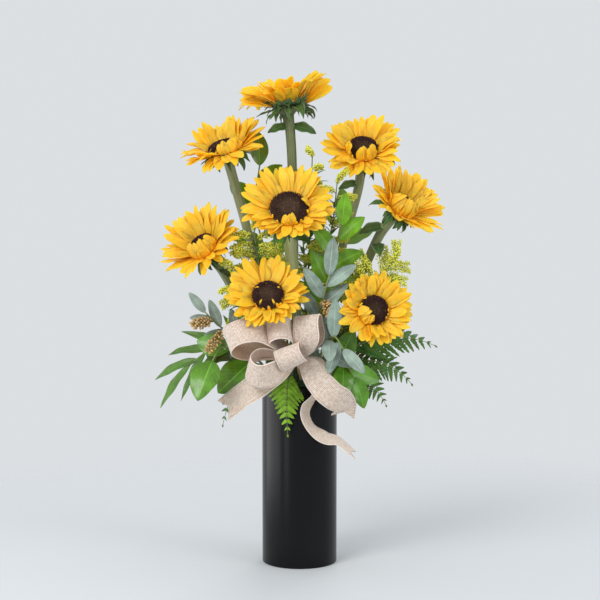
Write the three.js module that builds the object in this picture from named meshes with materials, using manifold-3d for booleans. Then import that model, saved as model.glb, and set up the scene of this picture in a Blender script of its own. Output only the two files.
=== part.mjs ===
// A sunflower arrangement: eight cut sunflowers, goldenrod, seeded eucalyptus, lemon leaf, ruscus and
// leatherleaf fern stand in a block of soaked floral foam in a black cylinder vase, with a burlap bow in
// front. Millimetres, +Z up, the viewer looks along +Y. The origin is the middle of the vase's underside.
import * as THREE from "three";
import { mergeVertices } from "three/addons/utils/BufferGeometryUtils.js";
import Module from "manifold-3d";

const wasm = await Module();
wasm.setup();

// Driving sizes.
const VASE_RADIUS = 52.5;
const VASE_HEIGHT = 254;
const VASE_WALL = 3.6;
const VASE_FLOOR = 6;
const VASE_SIDES = 28;
const GAP = 0.3;
const FOAM_RADIUS = VASE_RADIUS - VASE_WALL - GAP;
const FOAM_TOP = VASE_HEIGHT + 14;
const FOAM_CHAMFER = 7;
const HOLE_GAP = 0.5;
const FAN_DEPTH = 200;
const STEP_OVER = 2;
const BLADE = 1.3;
const SHEET = 0.8;
const RIBBON_WIDTH = 36;
const RIBBON_THICK = 0.9;
const KNOT = [-4, -96, 299];

const PAINT = {
  black: [0x0b0c0e, 0.22],
  foam: [0x2f5a35, 0.95],
  petal: [0xf9b21a, 0.55],
  disc: [0x2b1712, 0.9],
  stem: [0x66803c, 0.6],
  goldenrod: [0xa3b32c, 0.8],
  eucalyptus: [0x8fa898, 0.7],
  seed: [0x8a5f35, 0.7],
  lemon: [0x2f7a1c, 0.3],
  lemon_young: [0x5f9d2c, 0.35],
  ruscus: [0x3f7f33, 0.45],
  fern: [0x2f6e24, 0.5],
  burlap: [0xcbb29c, 0.9],
  wood: [0xb08a5a, 0.8],
};

// A fixed draw from 0 to 1 for each set of whole-number keys, so the same piece falls in the same place
// each time.
function draw(seed, index, kind = 0) {
  const wave = Math.sin(seed * 127.1 + index * 311.7 + kind * 74.7) * 43758.5453;
  return wave - Math.floor(wave);
}

const spread = (seed, index, kind) => 2 * draw(seed, index, kind) - 1;
const vec = (p) => new THREE.Vector3(...p);
const rad = THREE.MathUtils.degToRad;

// Solids and meshes.

function solidOfMesh(positions, triangles) {
  const vertProperties = new Float32Array(positions);
  const make = (order) =>
    new wasm.Manifold(new wasm.Mesh({ numProp: 3, vertProperties, triVerts: new Uint32Array(order) }));
  const made = make(triangles);
  if (made.volume() > 0) return made;
  const turned = [...triangles];
  for (let i = 0; i < turned.length; i += 3) {
    [turned[i + 1], turned[i + 2]] = [turned[i + 2], turned[i + 1]];
  }
  return make(turned);
}

function solidOf(geometry) {
  const bare = new THREE.BufferGeometry();
  bare.setAttribute("position", geometry.getAttribute("position").clone());
  if (geometry.index) bare.setIndex(geometry.index.clone());
  const merged = mergeVertices(bare, 1e-3);
  const index = merged.index.array;
  const kept = [];
  for (let i = 0; i < index.length; i += 3) {
    const [a, b, c] = [index[i], index[i + 1], index[i + 2]];
    if (a !== b && b !== c && c !== a) kept.push(a, b, c);
  }
  return solidOfMesh(merged.attributes.position.array, kept);
}

function meshOf(name, solid, paint) {
  const { vertProperties, triVerts, numProp } = solid.getMesh();
  const points = new Float32Array((vertProperties.length / numProp) * 3);
  for (let i = 0; i < points.length / 3; i += 1) {
    points.set(vertProperties.subarray(i * numProp, i * numProp + 3), i * 3);
  }
  const geometry = new THREE.BufferGeometry();
  geometry.setAttribute("position", new THREE.BufferAttribute(points, 3));
  geometry.setIndex(new THREE.BufferAttribute(new Uint32Array(triVerts), 1));
  const [color, roughness] = paint;
  const mesh = new THREE.Mesh(
    geometry,
    new THREE.MeshStandardMaterial({ color, roughness, metalness: 0, flatShading: true }),
  );
  mesh.name = name;
  return mesh;
}

// Shapes that repeat.

// A thin blade with a lens section and a point at each end. It leaves root along `along`, its upper face
// looks to `up`, it arches away from `up` by `bend` radians over its length, and its edges rise by `fold`
// of the half width. `outline` lists [share of the length, share of the width] between the two points.
function blade({ root, along, up, length, width, outline, bend = 0, fold = 0.15, thick = BLADE }) {
  const forward = along.clone().normalize();
  const side = forward.clone().cross(up).normalize();
  const lift = side.clone().cross(forward);
  const arc = Math.abs(bend) < 1e-3 ? 1e-3 : bend;
  const centreAt = (t) =>
    root
      .clone()
      .addScaledVector(forward, (length * Math.sin(arc * t)) / arc)
      .addScaledVector(lift, (-length * (1 - Math.cos(arc * t))) / arc);
  const positions = [...root.toArray()];
  for (const [t, share] of outline) {
    const half = (width * share) / 2;
    const section = [[half, half * fold], [0, thick / 2], [-half, half * fold], [0, -thick / 2]];
    const normal = lift
      .clone()
      .multiplyScalar(Math.cos(arc * t))
      .addScaledVector(forward, Math.sin(arc * t));
    for (const [out, high] of section) {
      positions.push(...centreAt(t).addScaledVector(side, out).addScaledVector(normal, high).toArray());
    }
  }
  positions.push(...centreAt(1).toArray());
  return solidOfMesh(positions, tubeTriangles(outline.length, 4));
}

// The triangles of a closed tube: a first point, rows of `sides` points and a last point. The upper and
// lower halves are split along the same diagonals, so that the two faces of a thin blade can't cross.
function tubeTriangles(rows, sides) {
  const at = (row, k) => 1 + row * sides + (k % sides);
  const last = 1 + rows * sides;
  const triangles = [];
  for (let k = 0; k < sides; k += 1) {
    triangles.push(0, at(0, k), at(0, k + 1), last, at(rows - 1, k + 1), at(rows - 1, k));
    for (let row = 0; row < rows - 1; row += 1) {
      const [a, b, c, d] = [at(row, k), at(row, k + 1), at(row + 1, k + 1), at(row + 1, k)];
      if (k < sides / 2) triangles.push(a, c, b, a, d, c);
      else triangles.push(a, d, b, b, d, c);
    }
  }
  return triangles;
}

// A surface given by its points, normals and triangles, made a closed sheet of even thickness.
function thicken(points, normals, triangles, thick) {
  const count = points.length;
  const positions = [];
  for (const sign of [0.5, -0.5]) {
    points.forEach((p, i) => {
      positions.push(...p.clone().addScaledVector(normals[i], sign * thick).toArray());
    });
  }
  const order = [];
  const open = new Map();
  for (let i = 0; i < triangles.length; i += 3) {
    const [a, b, c] = triangles.slice(i, i + 3);
    order.push(a, b, c, a + count, c + count, b + count);
    for (const [from, to] of [[a, b], [b, c], [c, a]]) {
      if (!open.delete(`${to} ${from}`)) open.set(`${from} ${to}`, [from, to]);
    }
  }
  for (const [from, to] of open.values()) {
    order.push(from, to + count, to, from, from + count, to + count);
  }
  return solidOfMesh(positions, order);
}

// A round stalk along a curve.
function stalk(curve, radius, sides, steps) {
  const ring = [];
  for (let k = 0; k < sides; k += 1) {
    const turn = (2 * Math.PI * k) / sides;
    ring.push(new THREE.Vector2(radius * Math.cos(turn), radius * Math.sin(turn)));
  }
  const options = { steps, bevelEnabled: false, extrudePath: curve };
  return solidOf(new THREE.ExtrudeGeometry(new THREE.Shape(ring), options));
}

// A stalk through points with a radius at each. Its sides are turned the same way on every stalk.
function taper(points, radii, sides) {
  const last = points.length - 1;
  const positions = [...points[0].toArray()];
  points.forEach((point, row) => {
    const along = points[Math.min(last, row + 1)].clone().sub(points[Math.max(0, row - 1)]).normalize();
    const side = along.clone().cross(new THREE.Vector3(1, 0, 0)).normalize();
    const other = side.clone().cross(along);
    for (let k = 0; k < sides; k += 1) {
      const turn = (2 * Math.PI * k) / sides;
      const out = side.clone().multiplyScalar(Math.cos(turn)).addScaledVector(other, Math.sin(turn));
      positions.push(...point.clone().addScaledVector(out, radii[row]).toArray());
    }
  });
  positions.push(...points[last].toArray());
  return solidOfMesh(positions, tubeTriangles(points.length, sides));
}

// A spindle with a pyramid raised on each of its sides: a plume crowded with florets, or a bunch of
// capsules. `rings` lists [share of the length, radius]; the pyramids reach `stud` out of the sides and
// `ahead` forward.
function studded({ root, along, up, length, bend, rings, sides, stud, ahead }) {
  const forward = along.clone().normalize();
  const side = forward.clone().cross(up).normalize();
  const lift = side.clone().cross(forward);
  const arc = Math.abs(bend) < 1e-3 ? 1e-3 : bend;
  const point = (t, radius, turn, push) => {
    const normal = lift
      .clone()
      .multiplyScalar(Math.cos(arc * t))
      .addScaledVector(forward, Math.sin(arc * t));
    return root
      .clone()
      .addScaledVector(forward, (length * Math.sin(arc * t)) / arc + push)
      .addScaledVector(lift, (-length * (1 - Math.cos(arc * t))) / arc)
      .addScaledVector(side, radius * Math.cos(turn))
      .addScaledVector(normal, radius * Math.sin(turn));
  };
  const positions = [...root.toArray()];
  const turnOf = (row, k) => (2 * Math.PI * (k + row / 2)) / sides;
  rings.forEach(([t, radius], row) => {
    for (let k = 0; k < sides; k += 1) {
      positions.push(...point(t, radius, turnOf(row, k), 0).toArray());
    }
  });
  positions.push(...point(1, 0, 0, 0).toArray());
  const at = (row, k) => 1 + row * sides + (k % sides);
  const last = 1 + rings.length * sides;
  const triangles = [];
  for (let k = 0; k < sides; k += 1) {
    triangles.push(0, at(0, k), at(0, k + 1), last, at(rings.length - 1, k + 1), at(rings.length - 1, k));
    for (let row = 0; row < rings.length - 1; row += 1) {
      const t = (rings[row][0] + rings[row + 1][0]) / 2;
      const radius = (rings[row][1] + rings[row + 1][1]) / 2;
      const turn = turnOf(row, k) + (0.75 * 2 * Math.PI) / sides;
      const apex = positions.length / 3;
      positions.push(...point(t, radius + stud, turn, ahead).toArray());
      const ring = [at(row, k), at(row, k + 1), at(row + 1, k + 1), at(row + 1, k)];
      ring.forEach((from, i) => triangles.push(from, apex, ring[(i + 1) % 4]));
    }
  }
  return solidOfMesh(positions, triangles);
}

// Everything placed so far, by node name, which later leaves and petals keep clear of.
const placed = new Map();
const paints = new Map();

function reaches(a, b) {
  const [p, q] = [a.boundingBox(), b.boundingBox()];
  for (let k = 0; k < 3; k += 1) {
    if (p.min[k] > q.max[k] + GAP || q.min[k] > p.max[k] + GAP) return false;
  }
  return true;
}

function isClear(piece, own) {
  for (const [name, other] of placed) {
    if (name !== own && reaches(piece, other) && piece.minGap(other, GAP) < GAP / 2) return false;
  }
  return true;
}

// The piece made in the first way that is clear of every other node, or nothing.
function firstClear(own, ways, make) {
  for (const way of ways) {
    const piece = make(way);
    if (isClear(piece, own)) return piece;
  }
  return null;
}

function place(name, solid, paint) {
  placed.set(name, solid);
  paints.set(name, paint);
}

function fuse(name, pieces) {
  const whole = wasm.Manifold.union([placed.get(name), ...pieces.filter(Boolean)]);
  const bodies = whole.decompose();
  placed.set(name, bodies.reduce((a, b) => (b.volume() > a.volume() ? b : a)));
}

// The vase and the foam.

function vase() {
  const [outer, inner, edge] = [VASE_RADIUS, VASE_RADIUS - VASE_WALL, 1.2];
  const profile = [
    [0, 0], [outer - 1.5, 0], [outer, 1.5], [outer, VASE_HEIGHT - edge], [outer - edge, VASE_HEIGHT],
    [inner + edge, VASE_HEIGHT], [inner, VASE_HEIGHT - edge], [inner, VASE_FLOOR], [0, VASE_FLOOR],
  ];
  return lathe(profile, VASE_SIDES);
}

// A turned solid: the profile is [radius, height] and starts and ends on the axis.
function lathe(profile, sides) {
  const points = profile.map(([r, z]) => new THREE.Vector2(r, z));
  return solidOf(new THREE.LatheGeometry(points, sides).rotateX(Math.PI / 2));
}

const holes = [];

function foam() {
  const [bottom, side, top] = [VASE_FLOOR + GAP, FOAM_RADIUS, FOAM_TOP];
  const profile = [
    [0, bottom], [side, bottom], [side, top - FOAM_CHAMFER], [side - FOAM_CHAMFER, top], [0, top],
  ];
  return holes.reduce((block, hole) => block.subtract(hole), lathe(profile, 20));
}

// A path through given stations, with one straight run in the foam. Feet fan out from one point far
// below, so no two of them cross.
class StemPath extends THREE.Curve {
  constructor(foot, depth, line, steps) {
    super();
    const rise = (high) => {
      const fan = 1 + high / FAN_DEPTH;
      return new THREE.Vector3(foot[0] * fan, foot[1] * fan, FOAM_TOP + high);
    };
    const start = rise(STEP_OVER);
    const curve = new THREE.CatmullRomCurve3([rise(-30), start, ...line]);
    const share = start.distanceTo(rise(-30)) / curve.getLength();
    this.stations = [rise(-depth), start];
    for (let k = 1; k < steps; k += 1) {
      this.stations.push(curve.getPointAt(Math.min(1, share + ((1 - share) * k) / (steps - 1))));
    }
  }

  getPoint(t) {
    const at = Math.max(0, Math.min(1, t)) * (this.stations.length - 1);
    const k = Math.min(Math.floor(at), this.stations.length - 2);
    return this.stations[k].clone().lerp(this.stations[k + 1], at - k);
  }

  getPointAt(share) {
    return this.getPoint(share);
  }

  getTangentAt(share) {
    return this.getTangent(share);
  }
}

// A stalk's plain hole in the foam is a little wider and deeper than itself.
function holeEnds(path) {
  const [bottom, top] = path.stations;
  const lean = top.clone().sub(bottom).normalize();
  return [bottom.clone().addScaledVector(lean, -HOLE_GAP), top.clone().addScaledVector(lean, 9)];
}

function standing(path, radius, sides) {
  holes.push(stalk(new THREE.LineCurve3(...holeEnds(path)), radius + HOLE_GAP, sides, 1));
  return stalk(path, radius, sides, path.stations.length - 1);
}

// Leaves: outlines, and the ways tried to place one clear, as [degrees swung, share of its size].
const LEAVES = {
  lemon_young: { outline: [[0.22, 0.76], [0.52, 1], [0.82, 0.6]], bend: 0.3, fold: 0.2 },
  lemon: { outline: [[0.22, 0.76], [0.52, 1], [0.82, 0.6]], bend: 0.35, fold: 0.16 },
  ruscus: { outline: [[0.3, 1], [0.66, 0.8]], bend: 0.6, fold: 0.2 },
  eucalyptus: { outline: [[0.28, 0.95], [0.7, 0.9]], bend: 0.25, fold: 0.12 },
};
const LEAF_WAYS = [
  [0, 1], [16, 1], [-16, 1], [32, 1], [-32, 1], [50, 0.9], [-50, 0.9], [0, 0.72], [75, 0.8],
  [-75, 0.8], [110, 0.8], [-110, 0.8], [30, 0.55], [-30, 0.55], [180, 0.7],
];

// Sunflowers.

// head: middle of the flower; face: the way it looks; disc: radius of the brown middle;
// petal: length of the longest petals;
// rise: how far the petals tip forward, in degrees, with lift more at the bottom and less at the top;
// foot: where its stem stands in the foam;
// big: where one bract is longer, in degrees round from the right, and how much;
// leaves: [share up the stem, degrees round, length] of the leaves left on it; neck: the stem's radius
// under the cup, where it is stout;
// folded: where a petal folds in over the middle, tuck the share of its length that it keeps, and curl
// how far it bends over, in radians;
// arch: how far a petal arches out along its length, in radians; broad: how wide the petals are;
// oval: how much longer the petals are at the left and right than at the front and back;
// skew: [degrees round, share] where petals are longer and by how much; opposite they are shorter;
// sag: [degrees round, degrees] where petals tip forward less and by how much.
const SUNFLOWERS = [
  {
    name: "top", head: [-16, 16, 643], face: [-0.1, 0.06, 1], disc: 25, petal: 46, rise: 70, lift: 4,
    foot: [-4, 8], big: [310, 1.7], leaves: [[0.95, 345, 40], [0.95, 200, 34]], folded: [], arch: 0.9,
    oval: 0.14, broad: 1.2, sag: [190, 30],
  },
  {
    name: "upper_left", head: [-103, 0, 580], face: [-0.24, -0.3, 0.92], disc: 23, petal: 42, rise: 30,
    lift: -18, foot: [-22, 12], big: [330, 1.1], leaves: [], folded: [270, 305, 340], tuck: 0.5,
    curl: -1.2, broad: 1.1,
  },
  {
    name: "upper_right", head: [88, 12, 579], face: [-0.02, -0.72, 0.69], disc: 21, petal: 39, rise: 31,
    lift: -4, foot: [14, 14], big: [10, 1.5], leaves: [[0.87, 205, 32]], folded: [205, 270, 310],
  },
  {
    name: "right", head: [139, -36, 500], face: [0.5, -0.6, 0.62], disc: 19, petal: 44, rise: 46,
    lift: -4, foot: [33, -2], big: [200, 1.8], leaves: [[0.9, 190, 40], [0.8, 275, 38]],
    folded: [190, 225, 260, 300, 340], tuck: 0.75, curl: -1.3,
  },
  {
    name: "centre", head: [-14, -72, 499], face: [0, -0.8, 0.6], disc: 26, petal: 41, rise: 24,
    lift: 6, foot: [2, -12], big: [250, 1.1], leaves: [[0.84, 330, 30]], folded: [18, 270], neck: 10,
    curl: -1.4, skew: [130, 0.18],
  },
  {
    name: "left", head: [-131, -40, 446], face: [-0.44, -0.66, 0.6], disc: 19, petal: 45, rise: 38,
    lift: -4, foot: [-36, -4], big: [300, 1.2], leaves: [[0.84, 290, 30]],
    folded: [234, 270, 306, 342], tuck: 0.65, curl: -1.3,
  },
  {
    name: "front", head: [-42, -103, 384], face: [-0.05, -0.82, 0.57], disc: 21, petal: 36, rise: 24,
    lift: 4, foot: [-14, -27], big: [180, 1.0], leaves: [], folded: [], skew: [120, 0.12],
  },
  {
    name: "lower_right", head: [99, -92, 364], face: [0.22, -0.93, 0.3], disc: 20, petal: 35, rise: 32,
    lift: 6, foot: [22, -22], big: [180, 1.2], leaves: [[0.8, 190, 34]], folded: [198, 234], tuck: 0.8,
    curl: -1.7, skew: [340, 0.12],
  },
];

const STEM_RADIUS = 4.4;
const NECK_RADIUS = 6.6;
const STEM_SIDES = 5;
const PETALS_IN_ROW = 10;
const BRACTS = 6;
const PETAL_OUTLINE = [[0.36, 0.92], [0.72, 0.96]];
const BRACT_OUTLINE = [[0.45, 1]];
const RING_OUT = 3.8;
const PLATE = 1.8;
const NECK = 15;
const FOLD_TIP = 74;
const FOLD_BEND = -1.05;
const FOLD_OUT = 2.2;

// The head's own frame: x to the viewer's right, y up the flower, z the way it faces.
function headFrame({ head, face }) {
  const z = vec(face).normalize();
  const x = new THREE.Vector3(1, 0, 0).addScaledVector(z, -z.x).normalize();
  return new THREE.Matrix4().makeBasis(x, z.clone().cross(x), z).setPosition(vec(head));
}

function inFrame(frame, solid) {
  return solid.transform(frame.elements);
}

function flowerPath({ foot, face, head }) {
  const look = vec(face).normalize();
  const neck = vec(head).addScaledVector(look, -NECK + 4);
  const reach = neck.distanceTo(new THREE.Vector3(foot[0], foot[1], FOAM_TOP));
  const below = neck.clone().addScaledVector(look, -Math.min(30, reach * 0.3));
  return new StemPath(foot, 60, [below, neck], 4 + Math.round(reach / 90));
}

// The stem is slim where it stands in the foam and thickens up to the cup.
function flowerStem(flower, frame) {
  const { disc, neck = NECK_RADIUS } = flower;
  const top = -PLATE - GAP;
  const cup = [[0, -NECK], [neck + 0.6, -NECK], [disc * 0.75, -9], [disc - 1, top], [0, top]];
  const path = flowerPath(flower);
  const steps = path.stations.length - 2;
  const growth = path.stations.map((_, k) => (neck - STEM_RADIUS) * Math.max(0, (k - 1) / steps));
  const wide = STEM_RADIUS + HOLE_GAP;
  holes.push(taper(holeEnds(path), [wide, wide], STEM_SIDES));
  const stem = taper(path.stations, growth.map((more) => STEM_RADIUS + more), STEM_SIDES);
  return stem.add(inFrame(frame, lathe(cup, 8)));
}

// The brown middle is a low dome with a dimple. Its florets are raised from it by a formula.
function discOf({ disc }) {
  const [rings, sectors] = [3, 12];
  const radius = disc + 0.5;
  const base = PLATE + GAP;
  const positions = [0, 0, base, 0, 0, base + 2.8];
  for (let ring = 1; ring <= rings; ring += 1) {
    const share = ring / rings;
    for (let k = 0; k < sectors; k += 1) {
      const turn = (2 * Math.PI * (k + ring / 2)) / sectors;
      const bump = (k + ring) % 2 ? 0.9 : -0.4;
      const height = ring === rings ? base + 1.6 : base + 2.8 + 2.6 * Math.sin(Math.PI * share) + bump;
      positions.push(radius * share * Math.cos(turn), radius * share * Math.sin(turn), height);
    }
  }
  for (let k = 0; k < sectors; k += 1) {
    const turn = (2 * Math.PI * (k + rings / 2)) / sectors;
    positions.push(radius * Math.cos(turn), radius * Math.sin(turn), base);
  }
  const at = (ring, k) => 2 + (ring - 1) * sectors + (k % sectors);
  const triangles = [];
  for (let k = 0; k < sectors; k += 1) {
    triangles.push(1, at(1, k), at(1, k + 1), 0, at(rings + 1, k + 1), at(rings + 1, k));
    for (let ring = 1; ring <= rings; ring += 1) {
      triangles.push(at(ring, k), at(ring + 1, k), at(ring, k + 1));
      triangles.push(at(ring, k + 1), at(ring + 1, k), at(ring + 1, k + 1));
    }
  }
  return solidOfMesh(positions, triangles);
}

// One petal in the head's frame, in the outer row 0 or the inner row 1, tipped forward by `extra` degrees.
function petal(flower, row, index, extra, scale) {
  const { disc, rise, lift, folded, tuck = 0.65, curl = FOLD_BEND, arch = 0.25, oval = 0 } = flower;
  const { broad = 1, skew = [0, 0], sag = [0, 0] } = flower;
  const seed = SUNFLOWERS.indexOf(flower) + 1;
  const key = row * 50 + index;
  const turn = ((index + row / 2) / PETALS_IN_ROW) * 360 + 3 * spread(seed, key, 1);
  const isFolded = row === 1 && folded.some((at) => Math.abs(((turn - at + 540) % 360) - 180) < 17);
  const from = disc + (isFolded ? FOLD_OUT : -0.5);
  const sunk = sag[1] * Math.max(0, Math.cos(rad(turn - sag[0])));
  const open = rise - 8 + 15 * row - lift * Math.sin(rad(turn)) - sunk + 4 * spread(seed, key, 2);
  const tip = (isFolded ? FOLD_TIP : open) + extra;
  const longer = oval * Math.cos(2 * rad(turn)) + skew[1] * Math.cos(rad(turn - skew[0]));
  const grown = (1 + longer - 0.07 * row + 0.08 * spread(seed, key, 3)) * scale;
  const out = new THREE.Vector3(Math.cos(rad(turn)), Math.sin(rad(turn)), 0);
  const front = new THREE.Vector3(0, 0, 1);
  return blade({
    root: out.clone().multiplyScalar(from).addScaledVector(front, 0.7 * row - 1),
    along: out.clone().multiplyScalar(Math.cos(rad(tip))).addScaledVector(front, Math.sin(rad(tip))),
    up: front.clone().multiplyScalar(Math.cos(rad(tip))).addScaledVector(out, -Math.sin(rad(tip))),
    length: 3 + flower.petal * grown * (isFolded ? tuck : 1),
    width: (15.5 + 0.12 * disc + 1.2 * spread(seed, key, 4)) * broad * scale,
    outline: PETAL_OUTLINE,
    bend: isFolded ? curl : arch + 0.25 * spread(seed, key, 5),
    fold: 0.16,
  });
}

// The ways tried to place a petal clear, as [degrees more that it tips forward, share of its size].
const PETAL_WAYS = [
  [0, 1], [9, 1], [-9, 1], [18, 1], [-18, 0.95], [27, 0.9], [0, 0.8], [36, 0.85], [12, 0.65], [40, 0.6],
];

function petalsOf(flower, name, frame) {
  const pieces = [];
  for (let row = 0; row < 2; row += 1) {
    for (let index = 0; index < PETALS_IN_ROW; index += 1) {
      const make = ([extra, scale]) => inFrame(frame, petal(flower, row, index, extra, scale));
      pieces.push(firstClear(name, PETAL_WAYS, make));
    }
  }
  fuse(name, pieces);
}

function bract(flower, index, extra, scale) {
  const seed = SUNFLOWERS.indexOf(flower) + 31;
  const turn = (index / BRACTS) * 360 + 10 * spread(seed, index, 1);
  const tip = Math.min(36, flower.rise) - 38 + 12 * spread(seed, index, 2) - extra;
  const isBig = Math.abs(((turn - flower.big[0] + 540) % 360) - 180) < 180 / BRACTS;
  const out = new THREE.Vector3(Math.cos(rad(turn)), Math.sin(rad(turn)), 0);
  const front = new THREE.Vector3(0, 0, 1);
  return blade({
    root: out.clone().multiplyScalar(flower.disc * 0.55).addScaledVector(front, -6),
    along: out.clone().multiplyScalar(Math.cos(rad(tip))).addScaledVector(front, Math.sin(rad(tip))),
    up: front.clone().multiplyScalar(Math.cos(rad(tip))).addScaledVector(out, -Math.sin(rad(tip))),
    length: (flower.disc * 1.3 + 5 * spread(seed, index, 3)) * scale * (isBig ? flower.big[1] : 1),
    width: 12 * scale * (isBig ? flower.big[1] : 1),
    outline: BRACT_OUTLINE,
    bend: 0.5 + 0.4 * spread(seed, index, 4),
    fold: 0.1,
  });
}

function stemLeaf(flower, [share, turn, length], swing, scale) {
  const round = rad(turn + swing);
  return blade({
    root: flowerPath(flower).getPoint(share),
    along: new THREE.Vector3(Math.cos(round), Math.sin(round), 0.1),
    up: new THREE.Vector3(0, -0.7, 0.7),
    length: length * scale,
    width: length * scale * 0.5,
    outline: LEAVES.lemon.outline,
    bend: 1,
    fold: 0.15,
  });
}

const BRACT_WAYS = [[0, 1], [14, 1], [-8, 1], [28, 1], [42, 0.9], [20, 0.7], [55, 0.7], [0, 0.6]];

function bractsOf(flower, name, frame) {
  const pieces = [];
  for (let index = 0; index < BRACTS; index += 1) {
    const make = ([extra, scale]) => inFrame(frame, bract(flower, index, extra, scale));
    pieces.push(firstClear(name, BRACT_WAYS, make));
  }
  for (const at of flower.leaves) {
    const make = ([swing, scale]) => stemLeaf(flower, at, swing, scale);
    pieces.push(firstClear(name, LEAF_WAYS, make));
  }
  fuse(name, pieces);
}

// The bow. Each loop is a band round an oval: `centre` its middle, `axis` the way its near rim looks,
// `reach` its half length towards the knot, `deep` its half depth, and `flare` how much wider its far rim is.
const LOOPS = [
  { centre: [-70, -106, 326], axis: [0.22, -0.62, -0.75], reach: 28, deep: 23, flare: 0.08 },
  { centre: [-47, -120, 294], axis: [-0.06, -0.66, 0.75], reach: 22, deep: 20, flare: 0.24 },
  { centre: [-26, -104, 334], axis: [0.1, -0.6, -0.79], reach: 19, deep: 16, flare: 0.05 },
  { centre: [-11, -122, 306], axis: [0.9, -0.16, 0.4], reach: 17, deep: 14, flare: 0.04 },
  { centre: [13, -102, 333], axis: [0.95, -0.3, 0.1], reach: 26, deep: 14, flare: 0 },
];

// Each tail is a strip along hand-placed points: [x, y, z], the direction across the ribbon there, and
// the share of the ribbon's width that is spread flat.
const TAILS = [
  [
    [[-6, -94, 296], [0, 0.5, 1], 0.3], [[-26, -97, 281], [-0.3, 0.5, 0.8], 0.7],
    [[-50, -97, 267], [-0.4, 0.5, 0.7], 1], [[-74, -94, 252], [-0.4, 0.5, 0.7], 1],
    [[-96, -90, 234], [-0.25, 0.5, 0.85], 1],
  ],
  [
    [[-2, -94, 297], [0.6, 0, 0.6], 0.3], [[12, -104, 290], [0.9, 0, 0.5], 0.8],
    [[28, -112, 268], [0.88, 0, 0.5], 1], [[44, -112, 252], [0.86, 0.1, 0.5], 1],
    [[57, -104, 243], [0.8, 0.2, 0.55], 1], [[63, -94, 234], [0.9, 0.2, 0.35], 0.9],
    [[61, -88, 226], [0.95, -0.1, 0.1], 0.9],
  ],
  [
    [[-2, -92, 297], [0.4, 0.4, 0.6], 0.3], [[24, -90, 290], [0.3, 0.6, 0.7], 0.7],
    [[36, -90, 272], [0.5, 0.85, 0.2], 1], [[27, -90, 252], [0.6, 0.8, 0], 1],
    [[12, -86, 238], [0.55, 0.85, 0.1], 1], [[8, -84, 221], [0.3, 0.95, 0.1], 1],
    [[18, -84, 201], [0.15, 0.95, 0.25], 1], [[36, -84, 190], [0.1, 0.95, 0.3], 1],
    [[51, -82, 186], [0.1, 0.95, 0.25], 0.9], [[69, -80, 171], [0.1, 0.98, 0.15], 0.8],
  ],
];

function strip(rows, thick, notch = 0) {
  const [points, normals, triangles] = [[], [], []];
  for (const { left, right, normal } of rows) {
    points.push(left, right);
    normals.push(normal, normal);
  }
  for (let k = 0; k < rows.length - 1; k += 1) {
    const a = 2 * k;
    triangles.push(a, a + 1, a + 3, a, a + 3, a + 2);
  }
  if (notch) {
    // The end of a tail is cut to two points with a notch between them.
    const { left, right, normal } = rows.at(-1);
    const ahead = right.clone().sub(left).cross(normal).setLength(notch);
    const a = 2 * rows.length - 2;
    points.push(left.clone().add(ahead), right.clone().add(ahead), left.clone().lerp(right, 0.5));
    normals.push(normal, normal, normal);
    triangles.push(a, a + 4, a + 2, a, a + 1, a + 4, a + 1, a + 3, a + 4);
  }
  return thicken(points, normals, triangles, thick);
}

function loopRows({ centre, axis, reach, deep, flare }, steps) {
  const [middle, across, knot] = [vec(centre), vec(axis).normalize(), vec(KNOT)];
  const toKnot = knot.clone().sub(middle);
  const inward = toKnot.clone().addScaledVector(across, -toKnot.dot(across)).normalize();
  const other = across.clone().cross(inward);
  const rows = [];
  for (let k = 0; k <= steps; k += 1) {
    const turn = (2 * Math.PI * k) / steps;
    const pull = Math.pow(Math.max(0, Math.cos(turn)), 2.5);
    const wide = RIBBON_WIDTH * (1 - 0.78 * pull);
    const rim = (sign) => {
      const size = 1 - sign * flare;
      return middle
        .clone()
        .addScaledVector(inward, reach * size * Math.cos(turn))
        .addScaledVector(other, deep * size * Math.sin(turn))
        .lerp(knot, pull)
        .addScaledVector(across, (sign * wide) / 2);
    };
    const normal = inward
      .clone()
      .multiplyScalar(Math.cos(turn) / reach)
      .addScaledVector(other, Math.sin(turn) / deep)
      .normalize();
    rows.push({ left: rim(-1), right: rim(1), normal });
  }
  return rows;
}

function tailRows(stations, steps) {
  const line = new THREE.CatmullRomCurve3(stations.map(([p]) => vec(p)));
  const cross = new THREE.CatmullRomCurve3(stations.map(([, across]) => vec(across).normalize()));
  const wide = new THREE.CatmullRomCurve3(stations.map(([, , share]) => new THREE.Vector3(share, 0, 0)));
  const rows = [];
  for (let k = 0; k <= steps; k += 1) {
    const t = k / steps;
    const middle = line.getPoint(t);
    const along = line.getTangent(t);
    const across = cross.getPoint(t);
    across.addScaledVector(along, -across.dot(along)).normalize();
    const half = (RIBBON_WIDTH / 2) * wide.getPoint(t).x;
    rows.push({
      left: middle.clone().addScaledVector(across, -half),
      right: middle.clone().addScaledVector(across, half),
      normal: across.clone().cross(along).normalize(),
    });
  }
  return rows;
}

function bow() {
  const knot = solidOf(new THREE.SphereGeometry(9, 6, 5).scale(1, 0.8, 1).translate(...KNOT));
  const bands = LOOPS.map((loop) => strip(loopRows(loop, 10), RIBBON_THICK));
  const tails = TAILS.map((stations) => strip(tailRows(stations, stations.length + 1), RIBBON_THICK, 10));
  place("bow_ribbon", knot, PAINT.burlap);
  fuse("bow_ribbon", [...bands, ...tails]);
}

// A wooden pick behind the knot holds the bow in the foam.
const PICK_RADIUS = 1.5;
const PICK_FOOT = [4, -28, 252];
const PICK_TOP = [KNOT[0] + 0.4, KNOT[1] + 7.5, KNOT[2] - 4];

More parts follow.
